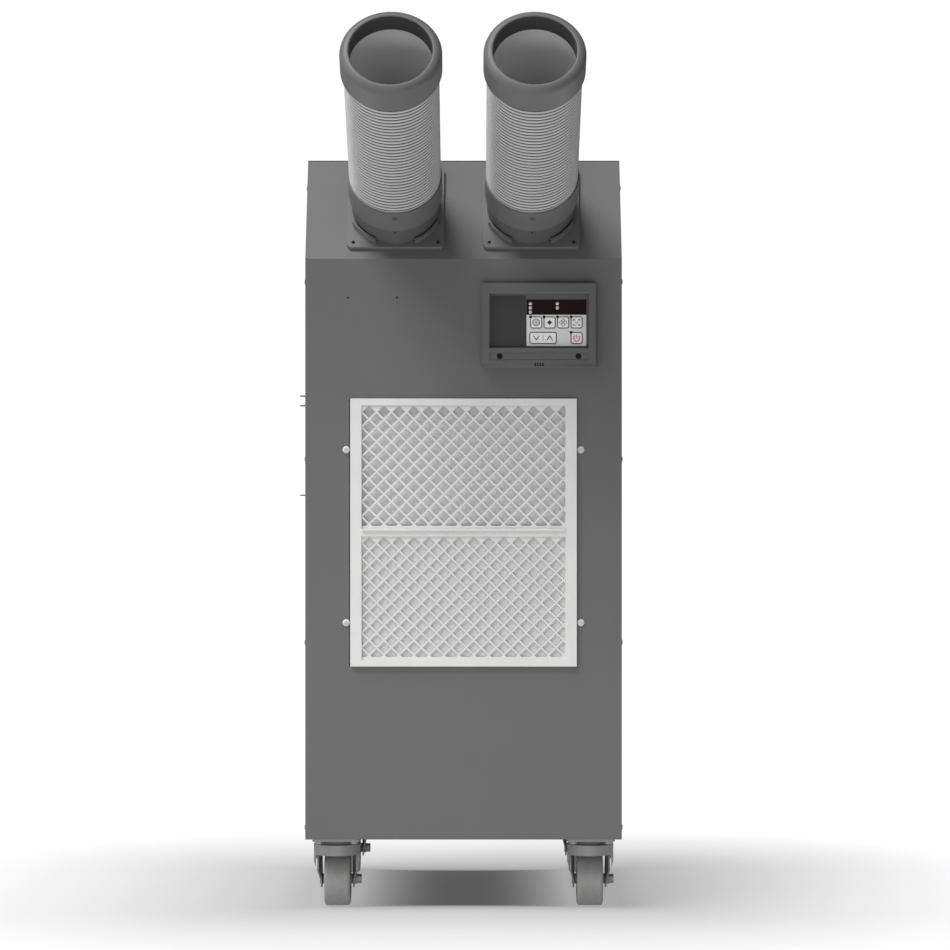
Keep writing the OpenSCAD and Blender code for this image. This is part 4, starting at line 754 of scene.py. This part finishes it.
# The control panel, in mm. A bend of the lip has a height and the slope below it, SLOT_WIDER is a
# ratio, and the heights of the slots are above the bezel's lower edge.

PANEL_FRONT_Y = -131.3
LIP_BENDS = ((869.6, 0.1), (863.6, 0.3))
SLOT_PITCH = 4.1
SLOT_WIDER = 1.35
SLOTS_HALF_W = 7.3
SLOTS_LOW, SLOTS_HIGH = 2.5, 8.2
FILM_X = (43.0, 98.5)
FILM_Z = (891.2, 971.7)
FILM_Y, FILM_T = -130.064, 0.3


def make_panel():
    """The control panel, from the bezel to the keys."""
    make_bezel()
    make_film()
    keep_node("control_board", "board", "zinc_steel")
    front_edge = before(PANEL_FRONT_Y * MM)
    refined("key_plate", "key_overlay", "key_overlay", 0.2, front_edge, 1)
    refined("display_window", "display_black", "display_black", 0.2, front_edge, 1)
    make_lamps()
    make_keys()


def make_bezel():
    """The bezel, with its lower lip bent out in two steps and its slots' side walls painted black
    as painted shade.
    """
    low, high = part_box("control_bezel")
    middle = (low.x + high.x) / 2
    pitch = SLOT_PITCH * MM

    def rim(c):
        near = min(c.x - low.x, high.x - c.x, c.z - low.z, high.z - c.z)
        return near < 1.7 * MM and c.y < low.y + 0.2 * MM

    def in_slots(c):
        up = c.z - low.z
        return abs(c.x - middle) < SLOTS_HALF_W * MM and SLOTS_LOW * MM < up < SLOTS_HIGH * MM

    shape = merged_copy("control_bezel")
    for bend_z, lean in LIP_BENDS:
        everything = list(shape.verts) + list(shape.edges) + list(shape.faces)
        bmesh.ops.bisect_plane(
            shape, geom=everything, plane_co=(0, 0, bend_z * MM), plane_no=(0, 0, 1), dist=WELD
        )
        for v in shape.verts:
            if v.co.y < low.y + 0.7 * MM and v.co.z < bend_z * MM:
                v.co.y -= lean * (bend_z * MM - v.co.z)
    rounded_edges(shape, ends(rim), 0.9, 3)
    for v in shape.verts:
        if in_slots(v.co):
            centre = middle + (math.floor((v.co.x - middle) / pitch) + 0.5) * pitch
            v.co.x = centre + (v.co.x - centre) * SLOT_WIDER
    # The slots' side walls get the black finish: painted shade inside the slots
    for face in shape.faces:
        painted_slot_shade = in_slots(face.calc_center_median()) and abs(face.normal.y) < 0.5
        face.material_index = 1 if painted_slot_shade else 0
    finished("control_bezel_eased", shape, ["bezel_plastic", "black_screws"], "cabinet",
             "control_bezel", math.radians(12))


def make_film():
    """The dark film on the recess's floor, left of the keys, with round corners."""
    film = bar((sum(FILM_X) / 2, FILM_Y, sum(FILM_Z) / 2),
               (FILM_X[1] - FILM_X[0], FILM_T, FILM_Z[1] - FILM_Z[0]))
    corners = [e for e in film.edges if abs(e.verts[0].co.y - e.verts[1].co.y) > 0.1 * MM]
    bmesh.ops.bevel(
        film, geom=corners, offset=1.5 * MM, offset_type="OFFSET", affect="EDGES", segments=4,
        profile=0.5, material=-1
    )
    finished("recess_film_sheet", film, "recess_film", "cabinet")


def make_lamps():
    """Round lenses for the indicators, and black ones at the keys' corners."""
    lit, dark = [], []
    least_lit_r = 2.6
    for low, high in islands("indicator_lamps"):
        r = (high.x - low.x) / 2 / MM
        centre = (low + high) / 2
        deep = (high.y - low.y) / MM
        outline = [(0.0, 0.0), (r * 0.5, -0.06), (r * 0.8, -0.2), (r * 0.95, -0.42), (r, -0.6),
                   (r, -deep), (0.0, -deep)]
        shape = spun(outline, closed=False, steps=24)
        bmesh.ops.recalc_face_normals(shape, faces=shape.faces)
        seat = Matrix.Translation((centre.x, low.y, centre.z)) @ Matrix.Rotation(QUARTER, 4, "X")
        (lit if r > least_lit_r else dark).append(turned(shape, seat))
    whole = joined(lit + dark)
    faces_lit = len(whole.faces) * len(lit) // (len(lit) + len(dark))
    for k, face in enumerate(whole.faces):
        face.material_index = 0 if k < faces_lit else 1
    finished("indicator_lenses", whole, ["lamp_lens", "lamp_black"], "cabinet",
             "indicator_lamps")


# Signs on the keys, in mm to the right of and above a key's centre

INK_H = 0.06
INK_SUNK = 0.01
KEY_HALF, ROCKER_HALF = 8.8, 20.95

# Outlines: how far outside the key's edge, the radius of the corners and the width

ON_CAP = (-0.5, 2.6, 0.7)
ON_PLATE = (0.58, 3.6, 0.54)


def on_circle(r, degrees):
    a = math.radians(degrees)
    return r * math.cos(a), r * math.sin(a)


def line(start, end, width):
    """A straight stroke of ink, flat on the key."""
    (x0, z0), (x1, z1) = start, end
    shape = bar((0, 0, 0), (math.hypot(x1 - x0, z1 - z0), INK_H, width))
    turn = Matrix.Rotation(-math.atan2(z1 - z0, x1 - x0), 4, "Y")
    middle = Vector(((x0 + x1) / 2, 0, (z0 + z1) / 2)) * MM
    return turned(shape, Matrix.Translation(middle) @ turn)


def curve(centre, r, start, sweep, width, steps):
    """A round stroke of ink, from one angle through a sweep, in degrees."""
    shape = bmesh.new()
    near, far, half = r - width / 2, r + width / 2, INK_H / 2
    corners = [(near, -half), (far, -half), (far, half), (near, half)]
    verts = [shape.verts.new((x * MM, y * MM, 0)) for x, y in corners]
    face = shape.faces.new(verts)
    turn = Matrix.Rotation(-math.radians(start), 3, "Y")
    bmesh.ops.rotate(shape, verts=verts, cent=(0, 0, 0), matrix=turn)
    whole = sweep >= 360
    bmesh.ops.spin(
        shape, geom=list(shape.edges) if whole else [face], cent=(0, 0, 0), axis=(0, -1, 0),
        dvec=(0, 0, 0), angle=math.radians(sweep), steps=steps, use_merge=whole,
        use_normal_flip=False, use_duplicate=False
    )
    if whole:
        bmesh.ops.delete(shape, geom=[face], context="FACES_ONLY")
        bmesh.ops.remove_doubles(shape, verts=shape.verts, dist=WELD)
    bmesh.ops.recalc_face_normals(shape, faces=shape.faces)
    return turned(shape, Matrix.Translation((centre[0] * MM, 0, centre[1] * MM)))


def frame_lines(points, width):
    """Strokes from point to point, and back to the first."""
    return [line(a, b, width) for a, b in zip(points, points[1:] + points[:1])]


def key_border(wide, outline, lamp):
    """An inked outline near a key's edge. A lamp takes the place of its upper left corner."""
    outward, r, width = outline
    half_w, half_h = wide + outward, KEY_HALF + outward
    x, z = half_w - r, half_h - r
    parts = [line((-x, half_h), (x, half_h), width), line((-x, -half_h), (x, -half_h), width),
             line((-half_w, -z), (-half_w, z), width), line((half_w, -z), (half_w, z), width)]
    corners = [(x, z, 0), (-x, -z, 180), (x, -z, 270)] + ([] if lamp else [(-x, z, 90)])
    return parts + [curve((cx, cz), r, start, 90, width, 8) for cx, cz, start in corners]


def star(r, inner, points):
    """A solid flake: a flat star with that many points."""
    shape = bmesh.new()
    ring = []
    for k in range(points * 2):
        x, z = on_circle(r if k % 2 == 0 else inner, 180 * k / points)
        ring.append(shape.verts.new((x * MM, -INK_H / 2 * MM, z * MM)))
    face = shape.faces.new(ring)
    made = bmesh.ops.extrude_face_region(shape, geom=[face], use_keep_orig=True)
    moved = [v for v in made["geom"] if isinstance(v, bmesh.types.BMVert)]
    bmesh.ops.translate(shape, verts=moved, vec=(0, INK_H * MM, 0))
    bmesh.ops.recalc_face_normals(shape, faces=shape.faces)
    return shape


def mode_sign():
    """A ring round a hexagon round a diamond."""
    hexagon = [on_circle(3.9, 60 * k) for k in range(6)]
    diamond = [(0, 1.5), (1.5, 0), (0, -1.5), (-1.5, 0)]
    ring = curve((0, 0), 5.3, 0, 360, 1.1, 40)
    return [ring] + frame_lines(hexagon, 0.6) + frame_lines(diamond, 0.9)


def cool_sign():
    """A flake with four points and four short arms between them."""
    arms = [line((0, 0), on_circle(3.3, 45 + 90 * k), 0.9) for k in range(4)]
    return [star(5.0, 1.9, 4)] + arms


def fan_sign():
    """Four open blades round a hub."""
    blades = [curve(on_circle(3.6, 90 * k), 2.2, 90 * k - 145, 290, 0.85, 20) for k in range(4)]
    return [curve((0, 0), 1.3, 0, 360, 0.9, 20)] + blades


def timer_sign():
    """Four brackets round a tick."""
    parts = []
    for sx in (-1, 1):
        for sz in (-1, 1):
            parts.append(line((sx * 5.8, sz * 4.75), (sx * 2.2, sz * 4.75), 1.0))
            parts.append(line((sx * 5.3, sz * 5.2), (sx * 5.3, sz * 2.0), 1.0))
            parts.append(line((sx * 3.7, sz * 2.9), (sx * 2.3, sz * 2.9), 0.8))
    parts.append(line((-1.9, 0.0), (0.2, -2.0), 0.8))
    parts.append(line((0.2, -2.0), (2.3, 1.7), 0.8))
    return parts


def power_sign():
    """An open ring with a stroke in its gap."""
    return [curve((0, -0.4), 4.6, 122, 296, 1.2, 32), line((0, 0.2), (0, 5.0), 1.2)]


def step_sign():
    """Down and up chevrons with a divider between them."""
    parts = []
    for x, way in ((-10.6, -1), (10.6, 1)):
        parts.append(line((x - 4.6, -3.6 * way), (x + 0.3, 3.6 * way), 1.45))
        parts.append(line((x + 4.6, -3.6 * way), (x - 0.3, 3.6 * way), 1.45))
    parts.append(line((0, -4.9), (0, 4.9), 0.7))
    return parts


# Each key's sign and body

KEYS = {
    "mode": (mode_sign, "mode_button"),
    "cool": (cool_sign, "cool_button"),
    "fan": (fan_sign, "fan_button"),
    "timer": (timer_sign, "timer_button"),
    "power": (power_sign, "power_button"),
    "temperature": (step_sign, "temperature_rocker"),
}


def make_keys():
    """The six keys, each with its cap, its inked outlines and its sign."""
    ink_out = INK_H / 2 * MM
    plate_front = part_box("key_plate")[0].y
    rings = []
    for word, (sign, body) in KEYS.items():
        node = word + "_key"
        low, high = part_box(node)
        slot, ink = ("power_cap", "power_ink") if word == "power" else ("key_cap", "key_ink")
        shape = merged_copy(node)
        rounded_edges(shape, before(low.y + 0.05 * MM), 0.15)
        finished(node + "_cap", shape, slot, body, node)
        lamp = word != "temperature"
        wide = KEY_HALF if lamp else ROCKER_HALF
        x, z = (low.x + high.x) / 2, (low.z + high.z) / 2
        cap = Matrix.Translation((x, low.y - ink_out + INK_SUNK * MM, z))
        plate = Matrix.Translation((x, plate_front - ink_out + INK_SUNK * MM, z))
        finished(word + "_sign", turned(joined(sign()), cap), ink, body)
        edge = turned(joined(key_border(wide, ON_CAP, lamp)), cap)
        finished(word + "_outline", edge, "key_ink", body)
        rings.append(turned(joined(key_border(wide, ON_PLATE, lamp)), plate))
    finished("key_plate_outlines", joined(rings), "key_ink", "cabinet")


# The casters, and the nodes that keep their own mesh

PLAIN_NODES = {
    "zinc_steel": ("plenum", "blower_housing", "plate_condenser", "electrical_box"),
    # The filter rails are black as painted shade in the gap beside the filter frame; the drain pan
    # and gland are black plastic
    "black_plastic": ("filter_rails", "drain_pan", "cable_gland"),
    "motor_paint": ("blower_motor", "compressor"),
    "coil_aluminium": ("evaporator_coil", "blower_wheel"),
    "panel_paint": ("component_shelf",),
    "brass": ("water_valve", "water_unions"),
    "copper": ("water_pipes", "refrigerant_lines"),
}


def make_casters():
    """The forks, wheels, plates and bolts, the steel ones with eased edges."""
    steel = ("caster_steel", "zinc_steel", 0.4)
    for place in ("front_left", "front_right", "rear_left", "rear_right"):
        refined("caster_fork_" + place, *steel)
        make_wheel(place)
    refined("caster_plates", *steel)
    refined("caster_bolts", *steel)


def make_wheel(place):
    """A wheel: a tyre with soft shoulders on a dished hub. One side's outline serves both."""
    node = "caster_wheel_" + place
    low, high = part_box(node)
    axle_r, r, half, hub, shoulder = 4.08, 42.5, 20.7, 24.2, 5.0
    side = [(axle_r, hub), (7.6, hub), (8.0, hub - 0.4), (8.0, half), (12.4, half)]
    side += [(13.0, half - 0.5), (13.6, half - 5.0), (30.2, half - 5.0), (31.0, half - 4.4)]
    side += [(31.0, half - 0.6), (31.6, half), (33.6, half), (34.0, half - 0.5)]
    side += [(34.6, half - 0.5), (35.0, half)]
    side += arc(r - shoulder, half - shoulder, shoulder, 80, 0, 7)
    outline = side + [(x, -z) for x, z in reversed(side)]
    axle = Matrix.Translation((low + high) / 2) @ Matrix.Rotation(QUARTER, 4, "Y")
    shape = turned(spun(outline, steps=72), axle)
    finished(node + "_turned", shape, "wheel_rubber", body_of(node), node)


def make_rest():
    """Finishes for the nodes that stay as they are."""
    for finish, kept in PLAIN_NODES.items():
        for node in kept:
            keep_node(node, finish)


# The studio, in metres. The floor's glow is painted light, and it goes by the distance from the
# cabinet's outline, which is below 0 under it. There, as painted shadow, it is at least UNDER_GLOW,
# and more towards the sides, up to UNDER_MOST.

FLOOR_R = 3.0
FLOOR_TONE = 0.12
FLOOR_GLOW = [(-0.1, 0.07), (-0.015, 0.09), (0.01, 0.38), (0.06, 0.46), (0.2, 0.58), (0.37, 0.71),
              (0.7, 0.9)]
GLOW_SPAN = 0.9
CABINET_SPANS = (("X", 0.0, 0.245), ("Y", 0.19, 0.25))
UNDER_FROM, UNDER_GLOW, UNDER_RISE, UNDER_MOST = 0.225, 0.09, 13, 0.38
WHITE = (1, 1, 1, 1)
BACKDROP = 1.05
SKY = 0.27
SKY_LEFT, SKY_RIGHT = SKY * 1.5, SKY * 0.4
# each sun's way, strength and spread in degrees
SUNS = [
    ("key_light", (0.36, 0.32, -0.86), 3.4, 32),
    ("left_light", (0.9, 0.32, -0.3), 0.33, 40),
]
FILL_WATTS = 9.0
FILL_PLACE = Vector((-0.3, -2.5, 0.16))
FILL_AIM = Vector((0, 0, 0.9))
FILL_SIZE = (2.0, 0.3)
CAMERA_PLACE = (0.0181, -5.576, 0.6887)
CAMERA_LENS = 130.8


def make_floor():
    """A pale floor whose glow is painted light, with painted shadow under and near the cabinet."""
    shape = bmesh.new()
    bmesh.ops.create_circle(shape, cap_ends=True, segments=96, radius=FLOOR_R)
    mesh = bpy.data.meshes.new("studio_floor")
    shape.to_mesh(mesh)
    shape.free()
    floor = linked("studio_floor", mesh)
    f = Finish("floor_painted_glow", Roughness=0.9, Specular_IOR_Level=0.05,
               Base_Color=rgba(grey(FLOOR_TONE)))
    apart = []
    for axis, middle, half in CABINET_SPANS:
        along = f.node("ShaderNodeSeparateXYZ", sockets=[f.place()], give=axis) - middle
        apart.append(along.maths("ABSOLUTE") - half)
    outside = [far.maths("MAXIMUM", 0.0) for far in apart]
    away = (outside[0] * outside[0] + outside[1] * outside[1]) ** 0.5
    away = away + apart[0].maths("MAXIMUM", apart[1]).maths("MINIMUM", 0.0)
    first = FLOOR_GLOW[0][0]
    stops = [((far - first) / GLOW_SPAN, grey(tone)) for far, tone in FLOOR_GLOW]
    glow = f.node("ShaderNodeValToRGB", {"stops": stops}, [(away - first) / GLOW_SPAN], "Color")
    outward = (apart[0] + UNDER_FROM).maths("MAXIMUM", 0.0)
    under = (outward * outward * UNDER_RISE + UNDER_GLOW).maths("MINIMUM", UNDER_MOST)
    # The emission is painted light on the floor, low under and near the cabinet as painted shadow
    f.set(Emission_Color=glow.maths("MAXIMUM", under), Emission_Strength=1.0)
    mesh.materials.append(f.material)


def make_sky():
    """A white backdrop for the camera, and a soft light that fades to the right."""
    world = bpy.data.worlds.new("studio")
    bpy.context.scene.world = world
    world.use_nodes = True
    tree = world.node_tree
    tree.nodes.clear()

    def node(kind, **values):
        made = tree.nodes.new(kind)
        for name, value in values.items():
            made.inputs[name.replace("_", " ")].default_value = value
        return made

    seen = node("ShaderNodeBackground", Color=WHITE, Strength=BACKDROP)
    lighting = node("ShaderNodeBackground", Color=WHITE)
    way = node("ShaderNodeTexCoord")
    split = node("ShaderNodeSeparateXYZ")
    fade = node("ShaderNodeMapRange", From_Min=-1.0, From_Max=1.0, To_Min=SKY_LEFT,
                To_Max=SKY_RIGHT)
    path = node("ShaderNodeLightPath")
    mix = node("ShaderNodeMixShader")
    out = node("ShaderNodeOutputWorld")
    for source, target in (
        (way.outputs["Generated"], split.inputs[0]),
        (split.outputs["X"], fade.inputs["Value"]),
        (fade.outputs[0], lighting.inputs["Strength"]),
        (path.outputs["Is Camera Ray"], mix.inputs[0]),
        (lighting.outputs[0], mix.inputs[1]),
        (seen.outputs[0], mix.inputs[2]),
        (mix.outputs[0], out.inputs["Surface"]),
    ):
        tree.links.new(source, target)


def aimed(lamp, way):
    lamp.rotation_mode = "QUATERNION"
    lamp.rotation_quaternion = Vector(way).to_track_quat("-Z", "Y")


def make_lights():
    """Two suns from the upper left, and a low fill from the front."""
    for name, way, strength, spread in SUNS:
        data = bpy.data.lights.new(name, "SUN")
        data.energy = strength
        data.angle = math.radians(spread)
        aimed(linked(name, data), way)
    data = bpy.data.lights.new("low_fill", "AREA")
    data.shape = "RECTANGLE"
    data.size, data.size_y = FILL_SIZE
    data.energy = FILL_WATTS
    lamp = linked("low_fill", data)
    lamp.location = FILL_PLACE
    aimed(lamp, FILL_AIM - FILL_PLACE)


def make_camera():
    """A camera where the photo's was, level with the middle of the object."""
    data = bpy.data.cameras.new("photo_camera")
    data.lens = CAMERA_LENS
    data.sensor_width = 36
    data.clip_end = 60
    camera = linked("photo_camera", data)
    camera.location = CAMERA_PLACE
    camera.rotation_euler = (QUARTER, 0, 0)
    scene = bpy.context.scene
    scene.camera = camera
    scene.view_settings.view_transform = "Standard"
    scene.view_settings.look = "None"


make_finishes()
make_cabinet()
make_nozzles()
make_screws()
make_filter()
make_panel()
make_casters()
make_rest()
make_floor()
make_sky()
make_lights()
make_camera()
